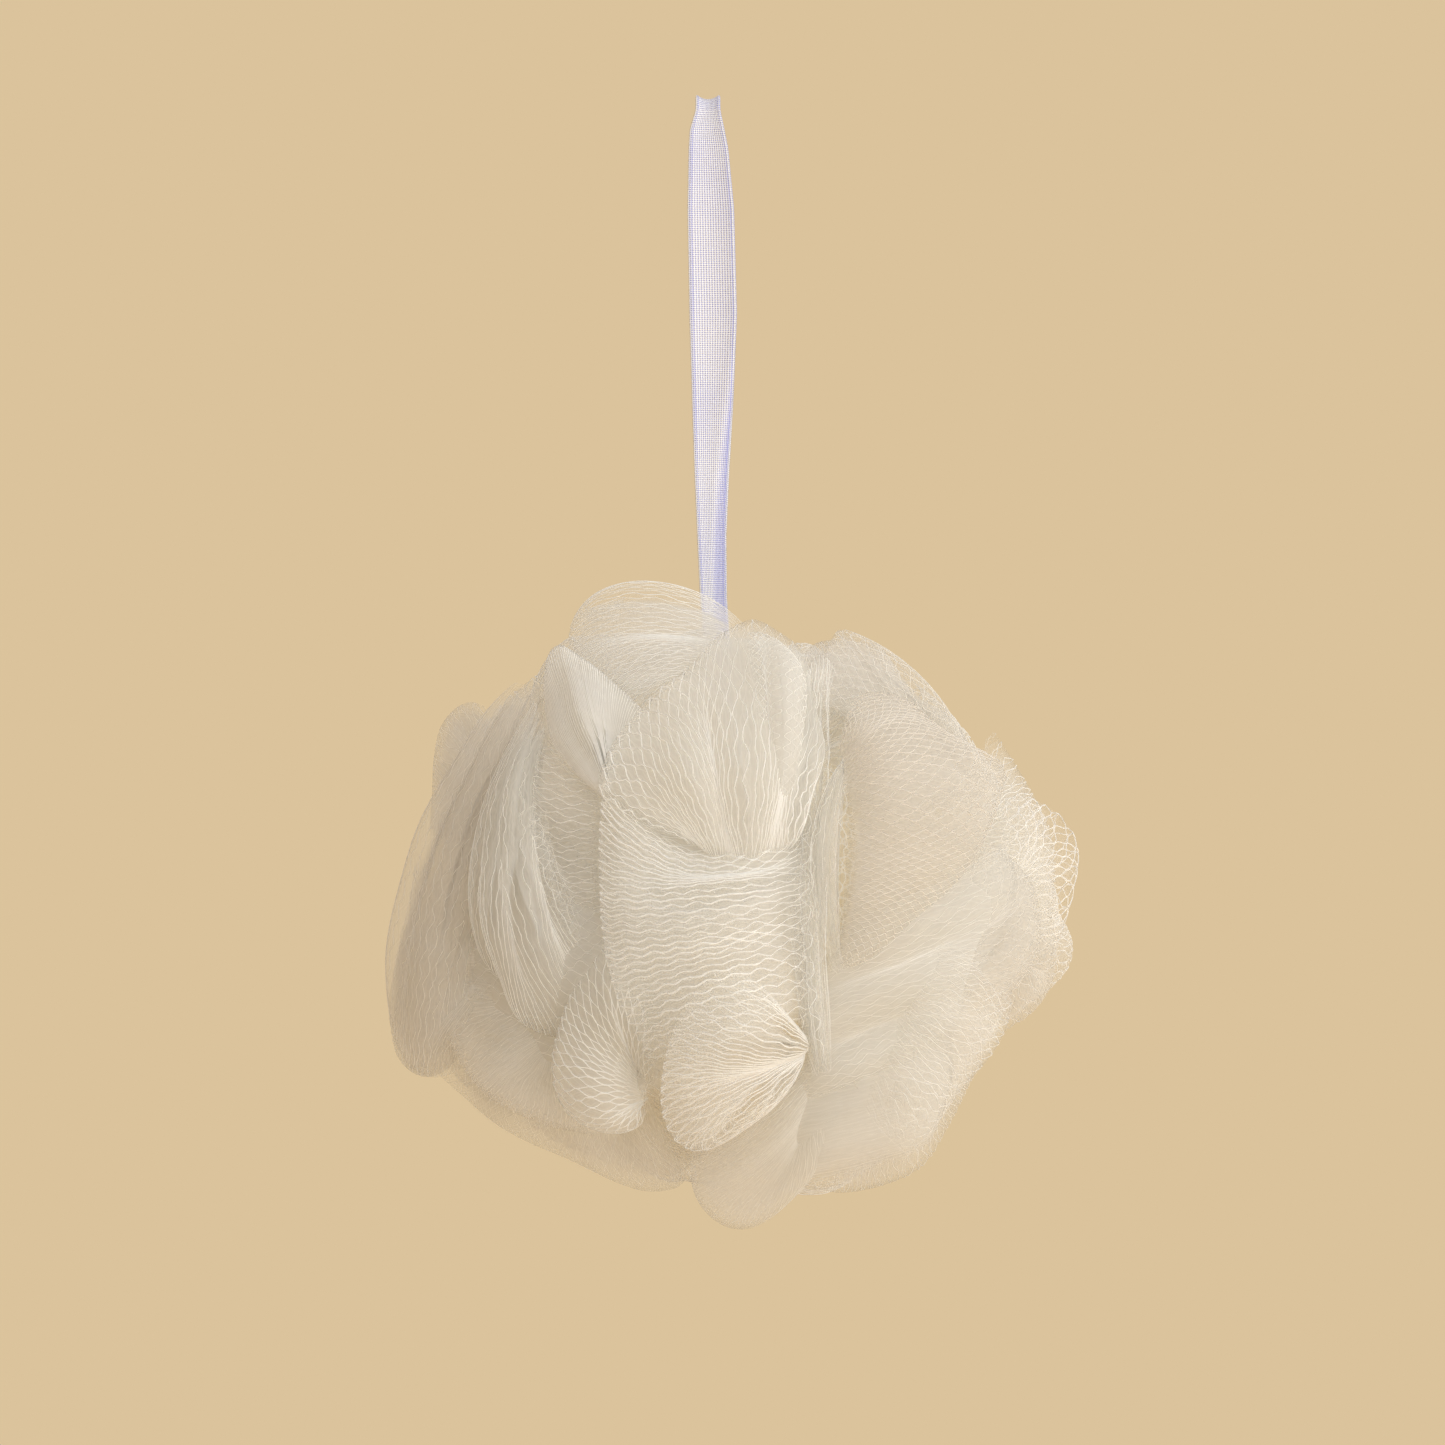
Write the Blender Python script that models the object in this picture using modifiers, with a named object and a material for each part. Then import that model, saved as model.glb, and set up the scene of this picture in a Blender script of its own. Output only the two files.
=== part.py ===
"""Mesh bath pouf hung on a woven ribbon loop.

A tube of soft plastic netting is gathered at its middle by a binding cord, so
that it stands out on all sides as a ball of folds. A narrow woven ribbon is
looped round the binding cord and comes out of the top of the ball as a
hanging loop. The origin is at the inside top of the hanging loop, where the
hook bears. +Z is up, the front faces -Y and +X is to the right.
"""

import math

import bmesh
import bpy
import numpy as np
from mathutils import Vector, noise

# Netting ball
BALL_RADIUS = 0.0693
BALL_DEPTH_RADIUS = 0.0640
BALL_SHIFT = 0.0055
CORE_GAP = 0.0190
CORE_CRUMPLE = 0.0035
FOLD_MIDDLE = 0.0042
FOLD_EDGE = 0.0015
FOLD_PUFF = 0.0060
FOLD_PLEAT = 0.0013
SIDE_FOLD_REACH = 0.0300
SIDE_FOLD_DROP = 0.0100
SIDE_FOLD_LEAN = 0.0170
SIDE_FOLD_DEPTH = 0.0300
SIDE_FOLD_WAVE = 0.0060
MESH_SIZE = 0.0021
NETTING_FACES = 8600

# Hanging loop
RIBBON_WIDTH = 0.0100
RIBBON_THICKNESS = 0.0006
RIBBON_ARCH = 0.0010
LOOP_DROP = 0.1712
HOOK_RADIUS = 0.0026
LOOP_GAP = 0.0088

# Binding cord, tied round the gathered waist of the netting
CORD_DIAMETER = 0.0024
WAIST_RADIUS = 0.0080
KNOT_RADIUS = 0.0028
BITE_CLEARANCE = 0.0005

# Clearance of the netting round the cord and the ribbon
SEAT_CLEARANCE = 0.0003

# Share of the ball's radius that the outline reaches, every 15 degrees,
# counted from the right-hand side and going up over the top.
OUTLINE = (
    1.02, 1.01, 0.88, 0.84, 0.87, 0.78, 0.85, 0.98,
    0.97, 0.92, 0.98, 0.95, 0.96, 1.04, 1.04, 0.95,
    0.90, 0.87, 0.92, 0.88, 0.93, 0.91, 0.88, 0.95,
)

# The folds on the front of the ball. Each is a doubled leaf of netting that
# fans out from a pinched root to its folded rim. The points are shares of the
# ball's radius from its centre: right, back and up.
FRONT_FOLDS = {
    "crown_fan": ((0.14, -0.66, 0.16), (
        (0.22, -0.80, 0.41), (0.21, -0.72, 0.66), (0.15, -0.62, 0.82),
        (0.02, -0.58, 0.88), (-0.13, -0.68, 0.74), (-0.26, -0.76, 0.58),
        (-0.37, -0.80, 0.40), (-0.41, -0.82, 0.21))),
    "breast_fan": ((0.24, -0.70, 0.11), (
        (-0.41, -0.84, 0.19), (-0.41, -0.87, 0.07), (-0.41, -0.88, -0.07),
        (-0.37, -0.88, -0.20), (-0.31, -0.87, -0.34), (-0.25, -0.84, -0.49),
        (-0.20, -0.80, -0.57))),
    "chin_fan": ((0.25, -0.66, -0.43), (
        (0.22, -0.80, -0.11), (0.10, -0.86, -0.08), (-0.04, -0.90, -0.14),
        (-0.13, -0.92, -0.26), (-0.20, -0.92, -0.40), (-0.24, -0.90, -0.54),
        (-0.21, -0.86, -0.66), (-0.11, -0.82, -0.72), (0.02, -0.78, -0.64))),
    "left_chin": ((-0.26, -0.66, -0.57), (
        (-0.33, -0.76, -0.27), (-0.42, -0.76, -0.17), (-0.50, -0.74, -0.28),
        (-0.55, -0.72, -0.42), (-0.54, -0.70, -0.54), (-0.48, -0.68, -0.63),
        (-0.37, -0.68, -0.66))),
    "right_shell": ((0.83, -0.36, 0.40), (
        (0.56, -0.56, 0.62), (0.41, -0.62, 0.63), (0.31, -0.68, 0.57),
        (0.28, -0.74, 0.43), (0.32, -0.80, 0.23), (0.33, -0.80, 0.04),
        (0.31, -0.78, -0.13), (0.36, -0.74, -0.21), (0.53, -0.70, -0.11),
        (0.68, -0.62, 0.04), (0.78, -0.52, 0.20))),
    "centre_slip": ((0.28, -0.45, 0.13), (
        (0.24, -0.62, 0.62), (0.27, -0.66, 0.44), (0.26, -0.70, 0.16),
        (0.27, -0.70, -0.11), (0.28, -0.64, -0.39))),
    "top_dome": ((0.06, -0.44, 0.78), (
        (-0.26, -0.62, 0.61), (-0.42, -0.56, 0.68), (-0.50, -0.50, 0.78),
        (-0.49, -0.44, 0.88), (-0.41, -0.38, 0.96), (-0.30, -0.34, 0.98),
        (-0.15, -0.34, 0.96), (-0.03, -0.36, 0.90))),
    "left_curl": ((-0.34, -0.60, 0.33), (
        (-0.55, -0.60, 0.52), (-0.57, -0.62, 0.62), (-0.57, -0.62, 0.72),
        (-0.53, -0.60, 0.79), (-0.44, -0.66, 0.75), (-0.34, -0.70, 0.66),
        (-0.25, -0.72, 0.58))),
    "left_gill": ((-0.36, -0.60, 0.13), (
        (-0.41, -0.66, 0.48), (-0.50, -0.62, 0.52), (-0.58, -0.60, 0.44),
        (-0.61, -0.62, 0.30), (-0.59, -0.66, 0.16), (-0.53, -0.70, 0.04),
        (-0.44, -0.72, -0.04))),
    "left_cheek": ((-0.53, -0.35, 0.13), (
        (-0.58, -0.42, 0.65), (-0.67, -0.40, 0.66), (-0.76, -0.40, 0.60),
        (-0.83, -0.42, 0.47), (-0.90, -0.42, 0.30), (-0.96, -0.42, 0.12),
        (-1.00, -0.42, -0.07))),
    "left_back": ((-0.53, -0.10, 0.16), (
        (-0.75, -0.22, 0.61), (-0.85, -0.20, 0.56), (-0.91, -0.18, 0.47),
        (-0.93, -0.15, 0.33), (-0.95, -0.12, 0.16))),
    "left_jowl": ((-0.66, -0.45, -0.17), (
        (-0.93, -0.40, 0.10), (-1.01, -0.36, -0.10), (-1.05, -0.34, -0.27),
        (-1.04, -0.34, -0.40), (-0.98, -0.36, -0.50), (-0.89, -0.42, -0.52),
        (-0.78, -0.50, -0.48))),
    "left_drape": ((-0.57, -0.50, 0.56), (
        (-0.75, -0.62, 0.23), (-0.81, -0.66, 0.04), (-0.82, -0.68, -0.14),
        (-0.72, -0.70, -0.27), (-0.55, -0.72, -0.33), (-0.41, -0.74, -0.28),
        (-0.39, -0.76, -0.14))),
    "low_left": ((-0.44, -0.50, -0.25), (
        (-0.95, -0.30, -0.48), (-0.84, -0.34, -0.58), (-0.69, -0.36, -0.69),
        (-0.52, -0.36, -0.78), (-0.33, -0.36, -0.85), (-0.17, -0.40, -0.86),
        (-0.09, -0.50, -0.76))),
    "low_left_inner": ((-0.47, -0.45, -0.30), (
        (-0.90, -0.50, -0.27), (-0.88, -0.52, -0.43), (-0.76, -0.54, -0.57),
        (-0.60, -0.58, -0.66), (-0.41, -0.62, -0.70))),
    "keel": ((0.32, -0.55, -0.40), (
        (-0.10, -0.66, -0.66), (-0.13, -0.60, -0.79), (-0.10, -0.52, -0.91),
        (-0.02, -0.46, -0.98), (0.08, -0.44, -0.97), (0.18, -0.46, -0.87),
        (0.28, -0.52, -0.74), (0.36, -0.60, -0.63), (0.37, -0.64, -0.51))),
    "low_right": ((0.36, -0.45, -0.25), (
        (0.20, -0.30, -0.86), (0.36, -0.28, -0.88), (0.56, -0.28, -0.81),
        (0.65, -0.30, -0.68), (0.72, -0.32, -0.54), (0.79, -0.34, -0.42),
        (0.82, -0.36, -0.30))),
    "low_right_inner": ((0.41, -0.62, -0.25), (
        (0.83, -0.50, -0.14), (0.84, -0.50, -0.30), (0.79, -0.50, -0.43),
        (0.70, -0.52, -0.56), (0.62, -0.54, -0.64), (0.53, -0.56, -0.70))),
    "right_ear": ((0.74, -0.25, 0.00), (
        (0.82, -0.20, 0.33), (0.92, -0.14, 0.31), (1.01, -0.10, 0.25),
        (1.05, -0.08, 0.16), (1.04, -0.10, 0.04), (1.00, -0.14, -0.07),
        (0.96, -0.18, -0.19))),
    "right_lobe": ((0.69, -0.30, -0.08), (
        (0.97, -0.10, 0.01), (0.98, -0.08, -0.13), (0.97, -0.08, -0.25),
        (0.91, -0.12, -0.33), (0.83, -0.16, -0.39))),
    "right_cheek": ((0.41, -0.55, -0.25), (
        (0.74, -0.46, 0.21), (0.83, -0.44, 0.16), (0.91, -0.42, 0.06),
        (0.93, -0.42, -0.08), (0.88, -0.46, -0.22), (0.80, -0.50, -0.30))),
    "right_peak": ((0.72, -0.30, 0.43), (
        (0.22, -0.46, 0.62), (0.26, -0.42, 0.74), (0.33, -0.38, 0.84),
        (0.42, -0.36, 0.79), (0.51, -0.34, 0.70), (0.63, -0.32, 0.58))),
    "right_back": ((0.45, -0.20, 0.38), (
        (0.20, -0.30, 0.73), (0.25, -0.26, 0.78), (0.36, -0.22, 0.80),
        (0.46, -0.20, 0.77), (0.53, -0.20, 0.67), (0.62, -0.20, 0.58),
        (0.71, -0.22, 0.49))),
}

# The folds at the sides and the back follow a spiral over the ball.
SPIRAL_COUNT = 46
SPIRAL_FIRST_DEPTH = -0.36
GOLDEN_ANGLE = math.pi * (3.0 - math.sqrt(5.0))

# Stations down one leg of the hanging loop, in metres: height under the hook,
# sideways shift, share of the full width and share of the loop's gap.
LOOP_STATIONS = (
    (0.0066, -0.0002, 0.72, 0.78),
    (0.0108, 0.0001, 0.83, 0.85),
    (0.0236, 0.0006, 0.98, 0.96),
    (0.0460, 0.0011, 1.00, 1.00),
    (0.0640, 0.0010, 0.87, 0.95),
    (0.0800, 0.0008, 0.72, 0.85),
    (0.0930, 0.0008, 0.60, 0.75),
    (0.1065, 0.0012, 0.55, 0.66),
    (0.1300, 0.0028, 0.55, 0.60),
)
TOP_WIDTH_SHARE = 0.50
ARCH_POINTS = 4
TURN_POINTS = 8


def make_material(name, colour, roughness):
    """Principled material in one colour."""
    material = bpy.data.materials.new(name)
    material.use_nodes = True
    shader = material.node_tree.nodes["Principled BSDF"]
    shader.inputs["Base Color"].default_value = (*colour, 1.0)
    shader.inputs["Roughness"].default_value = roughness
    shader.inputs["Metallic"].default_value = 0.0
    material.diffuse_color = (*colour, 1.0)
    return material


def new_object(name, mesh, collection):
    """Object holding the mesh, linked to the collection."""
    obj = bpy.data.objects.new(name, mesh)
    collection.objects.link(obj)
    return obj


def settled(obj, name, collection):
    """Plain mesh object holding the evaluated shape of obj, which is removed."""
    bpy.context.view_layer.update()
    graph = bpy.context.evaluated_depsgraph_get()
    mesh = bpy.data.meshes.new_from_object(obj.evaluated_get(graph))
    mesh.transform(obj.matrix_world)
    bpy.data.objects.remove(obj)
    return new_object(name, mesh, collection)


def as_cutter(obj):
    """Marks obj as a helper that isn't part of the pouf."""
    obj.hide_render = True
    obj.display_type = "WIRE"
    return obj


def boolean(obj, other, operation):
    """Exact Boolean of obj with other."""
    modifier = obj.modifiers.new(other.name, "BOOLEAN")
    modifier.operation = operation
    modifier.object = other
    modifier.solver = "EXACT"


def outline_share(angle):
    """Share of the ball's radius that the outline reaches at an angle."""
    steps = len(OUTLINE)
    place = (angle / (2.0 * math.pi) * steps) % steps
    low = int(place) % steps
    part = place - int(place)
    return OUTLINE[low] * (1.0 - part) + OUTLINE[(low + 1) % steps] * part


def ball_point(direction, shrink):
    """Point under the ball's outer form in a direction, shrink metres inside it."""
    across = math.hypot(direction[0], direction[2])
    angle = math.atan2(direction[2], direction[0])
    reach = BALL_RADIUS * outline_share(angle) - shrink
    depth = BALL_DEPTH_RADIUS - shrink
    side = reach * across
    return np.array(
        (side * math.cos(angle), depth * direction[1], side * math.sin(angle))
    )


def smooth_curve(points, count):
    """Evenly spaced points on a Catmull-Rom curve through the given points."""
    knots = np.array(points, float)
    ends = np.vstack((2 * knots[0] - knots[1], knots, 2 * knots[-1] - knots[-2]))
    fine = []
    for i in range(len(knots) - 1):
        p0, p1, p2, p3 = ends[i : i + 4]
        for t in np.linspace(0.0, 1.0, 12, endpoint=False):
            fine.append(
                0.5
                * (
                    2 * p1
                    + (p2 - p0) * t
                    + (2 * p0 - 5 * p1 + 4 * p2 - p3) * t**2
                    + (3 * p1 - p0 - 3 * p2 + p3) * t**3
                )
            )
    fine.append(knots[-1])
    fine = np.array(fine)
    steps = np.linalg.norm(np.diff(fine, axis=0), axis=1)
    run = np.concatenate(([0.0], np.cumsum(steps)))
    even = np.linspace(0.0, run[-1], count)
    return np.stack([np.interp(even, run, fine[:, k]) for k in range(3)], axis=1)


def fold_leaf(root, rim_points, pleats, phase, across, along):
    """Middle surface, normals and half thickness of one fold.

    The grid runs along the rim first and from the root to the rim second.
    """
    rim = smooth_curve(rim_points, across)
    u = np.linspace(0.0, 1.0, across)[:, None, None]
    v = np.linspace(0.0, 1.0, along)[None, :, None]
    pinch = root + 0.12 * (rim - rim.mean(axis=0))
    leaf = pinch[:, None, :] * (1.0 - v) + rim[:, None, :] * v
    normal = np.cross(np.gradient(leaf, axis=0), np.gradient(leaf, axis=1))
    facing = normal.mean(axis=(0, 1))
    if np.dot(facing, leaf.mean(axis=(0, 1))) < 0.0:
        normal = -normal
        facing = -facing
    facing /= np.linalg.norm(facing)
    normal /= np.maximum(np.linalg.norm(normal, axis=2, keepdims=True), 1e-9)
    swell = np.sin(math.pi * v**0.8)
    pleat = np.sin(2.0 * math.pi * (pleats * u + phase)) * np.sin(math.pi * v) ** 0.7
    leaf = leaf + facing * FOLD_PUFF * swell + normal * FOLD_PLEAT * pleat
    belly = np.sin(math.pi * np.clip(v, 0.0, 1.0)) ** 0.7
    belly = belly * np.sin(math.pi * np.clip(u, 0.02, 0.98)) ** 0.5
    half = FOLD_EDGE + (FOLD_MIDDLE - FOLD_EDGE) * belly
    return leaf, normal, half


def add_fold(bm, root, rim_points, pleats, phase):
    """Adds one fold to bm, as a loft of lens-shaped sections along its rim."""
    across, along = 22, 11
    leaf, normal, half = fold_leaf(root, rim_points, pleats, phase, across, along)
    front = leaf + normal * half
    back = leaf - normal * half
    rings = []
    for i in range(across):
        ring = [bm.verts.new(p) for p in front[i]]
        ring += [bm.verts.new(p) for p in back[i][::-1]]
        rings.append(ring)
    size = len(rings[0])
    for one, two in zip(rings, rings[1:]):
        for k in range(size):
            after = (k + 1) % size
            bm.faces.new((one[k], one[after], two[after], two[k]))
    for ring in (rings[0][::-1], rings[-1]):
        for k in range(along - 1):
            bm.faces.new((ring[k], ring[k + 1], ring[size - 2 - k], ring[size - 1 - k]))


def front_folds():
    """Root and rim of each fold on the front, in metres from the ball's centre."""
    folds = []
    for root, rim in FRONT_FOLDS.values():
        folds.append((np.array(root) * BALL_RADIUS, np.array(rim) * BALL_RADIUS))
    return folds


def side_folds():
    """Root and rim of each fold at the sides and the back."""
    folds = []
    for i in range(SPIRAL_COUNT):
        depth = -1.0 + 2.0 * (i + 0.5) / SPIRAL_COUNT
        if depth < SPIRAL_FIRST_DEPTH:
            continue
        turn = i * GOLDEN_ANGLE
        wide = math.sqrt(1.0 - depth * depth)
        direction = np.array((wide * math.cos(turn), depth, wide * math.sin(turn)))
        helper = np.array((0.0, 1.0, 0.0)) if wide > 0.3 else np.array((1.0, 0.0, 0.0))
        side = np.cross(direction, helper)
        side /= np.linalg.norm(side)
        lift = np.cross(side, direction)
        twist = 2.4 * i
        along = side * math.cos(twist) + lift * math.sin(twist)
        cross = np.cross(direction, along)
        tip = ball_point(direction, FOLD_EDGE)
        rim = []
        for share in np.linspace(-1.0, 1.0, 9):
            wave = SIDE_FOLD_WAVE * math.sin(2.6 * share + i)
            drop = SIDE_FOLD_DROP * share * share
            reach = SIDE_FOLD_REACH * share
            rim.append(tip + along * reach + cross * wave - direction * drop)
        root = ball_point(direction, SIDE_FOLD_DEPTH) + cross * SIDE_FOLD_LEAN
        folds.append((root, np.array(rim)))
    return folds


def add_core(bm):
    """Adds the crumpled middle of the ball, which the folds stand out from."""
    made = bmesh.ops.create_icosphere(bm, subdivisions=4, radius=1.0)
    for vert in made["verts"]:
        direction = vert.co.normalized()
        point = ball_point(direction, CORE_GAP)
        crumple = CORE_CRUMPLE * noise.noise(direction * 4.0)
        vert.co = Vector(point) + direction * crumple


def make_netting(collection):
    """The gathered netting as one body, before the cord and ribbon are let in."""
    bm = bmesh.new()
    add_core(bm)
    for i, (root, rim) in enumerate(front_folds() + side_folds()):
        add_fold(bm, root, rim, 1.5 + 0.5 * (i % 3), 0.37 * i)
    bmesh.ops.recalc_face_normals(bm, faces=bm.faces[:])
    mesh = bpy.data.meshes.new("netting_folds")
    bm.to_mesh(mesh)
    bm.free()
    loose = new_object("netting_folds", mesh, collection)
    loose.location = (BALL_SHIFT, 0.0, -LOOP_DROP)
    remesh = loose.modifiers.new("One skin", "REMESH")
    remesh.mode = "VOXEL"
    remesh.voxel_size = MESH_SIZE
    skin = settled(loose, "netting_skin", collection)
    skin.data.calc_loop_triangles()
    thin = skin.modifiers.new("Fewer faces", "DECIMATE")
    thin.ratio = min(1.0, NETTING_FACES / len(skin.data.loop_triangles))
    thin.use_collapse_triangulate = True
    netting = settled(skin, "netting_body", collection)
    keep_largest(netting.data)
    return netting


def keep_largest(mesh):
    """Removes every part of the mesh but the one with the most faces."""
    bm = bmesh.new()
    bm.from_mesh(mesh)
    waiting = set(bm.faces)
    parts = []
    while waiting:
        part = set()
        edge = [waiting.pop()]
        while edge:
            face = edge.pop()
            part.add(face)
            for loop in face.loops:
                for other in loop.edge.link_faces:
                    if other in waiting:
                        waiting.discard(other)
                        edge.append(other)
        parts.append(part)
    parts.sort(key=len, reverse=True)
    spare = [face for part in parts[1:] for face in part]
    bmesh.ops.delete(bm, geom=spare, context="FACES")
    bm.to_mesh(mesh)
    bm.free()


def cord_top():
    """Height of the middle of the cord where the ribbon hangs on it."""
    return -LOOP_DROP + WAIST_RADIUS


def loop_path():
    """Middle line of the hanging loop, and its width at each point."""
    half = RIBBON_THICKNESS / 2
    path = []
    turn = HOOK_RADIUS + half
    for k in range(TURN_POINTS + 1):
        angle = math.pi * k / TURN_POINTS
        place = (0.0, -turn * math.cos(angle), -HOOK_RADIUS + turn * math.sin(angle))
        path.append((place, RIBBON_WIDTH * TOP_WIDTH_SHARE))
    back = []
    for height, shift, width, gap in LOOP_STATIONS:
        leg = LOOP_GAP * gap / 2
        back.append(((shift, leg, -height), RIBBON_WIDTH * width))
    path += back
    low = CORD_DIAMETER / 2 + BITE_CLEARANCE + half
    last = RIBBON_WIDTH * LOOP_STATIONS[-1][2]
    for k in range(TURN_POINTS + 1):
        angle = math.pi * k / TURN_POINTS
        place = (BALL_SHIFT, low * math.cos(angle), cord_top() - low * math.sin(angle))
        path.append((place, last))
    for (x, y, z), width in reversed(back):
        path.append(((x, -y, z), width))
    return path


def make_band(name, extra_width, thickness, collection):
    """Closed band along the hanging loop, with its width along X."""
    path = loop_path()
    count = len(path)
    bm = bmesh.new()
    rows = []
    for i, (place, width) in enumerate(path):
        before = Vector(path[i - 1][0])
        after = Vector(path[(i + 1) % count][0])
        run = (after - before).normalized()
        outward = run.cross(Vector((1.0, 0.0, 0.0))).normalized()
        row = []
        for k in range(ARCH_POINTS + 1):
            share = 2.0 * k / ARCH_POINTS - 1.0
            side = share * (width / 2 + extra_width)
            arch = RIBBON_ARCH * (1.0 - share * share - 0.5)
            spot = Vector(place) + Vector((side, 0.0, 0.0)) + outward * arch
            row.append(bm.verts.new(spot))
        rows.append(row)
    for i in range(count):
        one, two = rows[i], rows[(i + 1) % count]
        for k in range(ARCH_POINTS):
            bm.faces.new((one[k], one[k + 1], two[k + 1], two[k]))
    mesh = bpy.data.meshes.new(name)
    bm.to_mesh(mesh)
    bm.free()
    band = new_object(name, mesh, collection)
    solid = band.modifiers.new("Thickness", "SOLIDIFY")
    solid.thickness = thickness
    solid.offset = 0.0
    solid.use_even_offset = True
    return band


def make_cord(name, spare, collection):
    """Binding cord with its knot, spare metres thicker all round."""
    bpy.ops.mesh.primitive_torus_add(
        major_segments=40,
        minor_segments=12,
        major_radius=WAIST_RADIUS,
        minor_radius=CORD_DIAMETER / 2 + spare,
        location=(BALL_SHIFT, 0.0, -LOOP_DROP),
        rotation=(math.pi / 2, 0.0, 0.0),
    )
    ring = bpy.context.object
    ring.name = name
    for owner in list(ring.users_collection):
        owner.objects.unlink(ring)
    collection.objects.link(ring)
    bm = bmesh.new()
    bmesh.ops.create_icosphere(bm, subdivisions=2, radius=KNOT_RADIUS + spare)
    mesh = bpy.data.meshes.new(name + "_knot")
    bm.to_mesh(mesh)
    bm.free()
    knot = as_cutter(new_object(name + "_knot", mesh, collection))
    knot.location = (BALL_SHIFT, 0.0, -LOOP_DROP - WAIST_RADIUS)
    boolean(ring, knot, "UNION")
    whole = settled(ring, name, collection)
    bpy.data.objects.remove(knot)
    return whole


def main():
    for obj in list(bpy.data.objects):
        bpy.data.objects.remove(obj)
    parts = bpy.data.collections.new("mesh_bath_pouf")
    cutters = bpy.data.collections.new("cutters")
    for group in (parts, cutters):
        bpy.context.scene.collection.children.link(group)

    ribbon = make_band("ribbon_loop", 0.0, RIBBON_THICKNESS, parts)
    cord = make_cord("binding_cord", 0.0, parts)

    wide = RIBBON_THICKNESS + 2 * SEAT_CLEARANCE
    ribbon_way = as_cutter(make_band("ribbon_way", SEAT_CLEARANCE, wide, cutters))
    cord_way = as_cutter(make_cord("cord_way", SEAT_CLEARANCE, cutters))

    netting = make_netting(parts)
    boolean(netting, cord_way, "DIFFERENCE")
    boolean(netting, ribbon_way, "DIFFERENCE")
    ruffle = settled(netting, "net_ruffle", parts)
    keep_largest(ruffle.data)

    finishes = (
        (ruffle, make_material("netting", (0.86, 0.80, 0.66), 0.55)),
        (cord, make_material("cord", (0.82, 0.76, 0.62), 0.7)),
        (ribbon, make_material("ribbon", (0.88, 0.86, 0.90), 0.45)),
    )
    for obj, material in finishes:
        obj.data.materials.clear()
        obj.data.materials.append(material)
        obj.data.shade_smooth()


main()
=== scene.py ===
"""Mesh bath pouf on a ribbon loop: the dressed scene.

The ball is built from doubled leaves of gathered netting. Each leaf fans out
from its pinched root to its folded rim, carries its own thin strands, joined
to their neighbours in turn so that they open into diamonds, and a thin haze of
finer net behind them. A woven ribbon hangs the ball from a hook.
"""

import logging
import math
from dataclasses import dataclass, field
from enum import Enum
from typing import Dict, List, Sequence, Tuple

import bmesh
import bpy
import numpy as np
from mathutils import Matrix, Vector, noise


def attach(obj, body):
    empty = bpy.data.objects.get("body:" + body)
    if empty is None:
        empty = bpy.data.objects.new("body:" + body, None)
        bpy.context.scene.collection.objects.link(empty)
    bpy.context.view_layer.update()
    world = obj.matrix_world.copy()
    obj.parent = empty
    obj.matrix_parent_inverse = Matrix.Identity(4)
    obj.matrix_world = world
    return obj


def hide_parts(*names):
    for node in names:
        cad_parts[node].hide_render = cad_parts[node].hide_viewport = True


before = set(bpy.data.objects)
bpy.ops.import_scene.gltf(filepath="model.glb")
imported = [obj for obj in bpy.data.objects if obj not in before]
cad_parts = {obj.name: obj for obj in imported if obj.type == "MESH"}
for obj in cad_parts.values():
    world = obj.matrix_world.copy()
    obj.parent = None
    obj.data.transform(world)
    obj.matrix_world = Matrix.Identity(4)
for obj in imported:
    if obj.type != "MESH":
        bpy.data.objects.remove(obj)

LOG = logging.getLogger("pouf")
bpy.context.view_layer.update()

Point = Tuple[float, float, float]

# Numbers that the haze of net carries at each point: the gap between strands in
# metres, the cover, the strands' swings, the share drawn as lines and the painted shade.
HAZE_MARKS = ("gap", "cover", "zig", "wavy", "lines", "shade")

BALL_CENTRE: Point = (0.0055, 0.0, -0.1712)


def srgb(red: float, green: float, blue: float) -> Point:
    """Linear colour of an sRGB colour.

    Args:
        red: red from 0 to 255.
        green: green from 0 to 255.
        blue: blue from 0 to 255.

    Returns:
        The three linear channels.
    """
    channels = []
    for value in (red, green, blue):
        share = value / 255.0
        low = share / 12.92
        high = ((share + 0.055) / 1.055) ** 2.4
        channels.append(low if share <= 0.04045 else high)
    return tuple(channels)


def placed(name: str, data: bpy.types.ID) -> bpy.types.Object:
    """Makes an object of some data and puts it in the scene.

    Args:
        name: name of the object.
        data: its mesh, lamp or camera.

    Returns:
        The object, at the origin.
    """
    made = bpy.data.objects.new(name, data)
    bpy.context.scene.collection.objects.link(made)
    return made


def hann(size: int) -> np.ndarray:
    """Weights of a soft mean.

    Args:
        size: number of neighbours in the mean.

    Returns:
        The weights, which add up to 1.
    """
    kernel = np.hanning(size)
    return kernel / kernel.sum()


def eased(share: np.ndarray) -> np.ndarray:
    """Shares from 0 to 1 with soft ends.

    Args:
        share: the shares.

    Returns:
        The eased shares.
    """
    return share * share * (3.0 - 2.0 * share)


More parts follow.
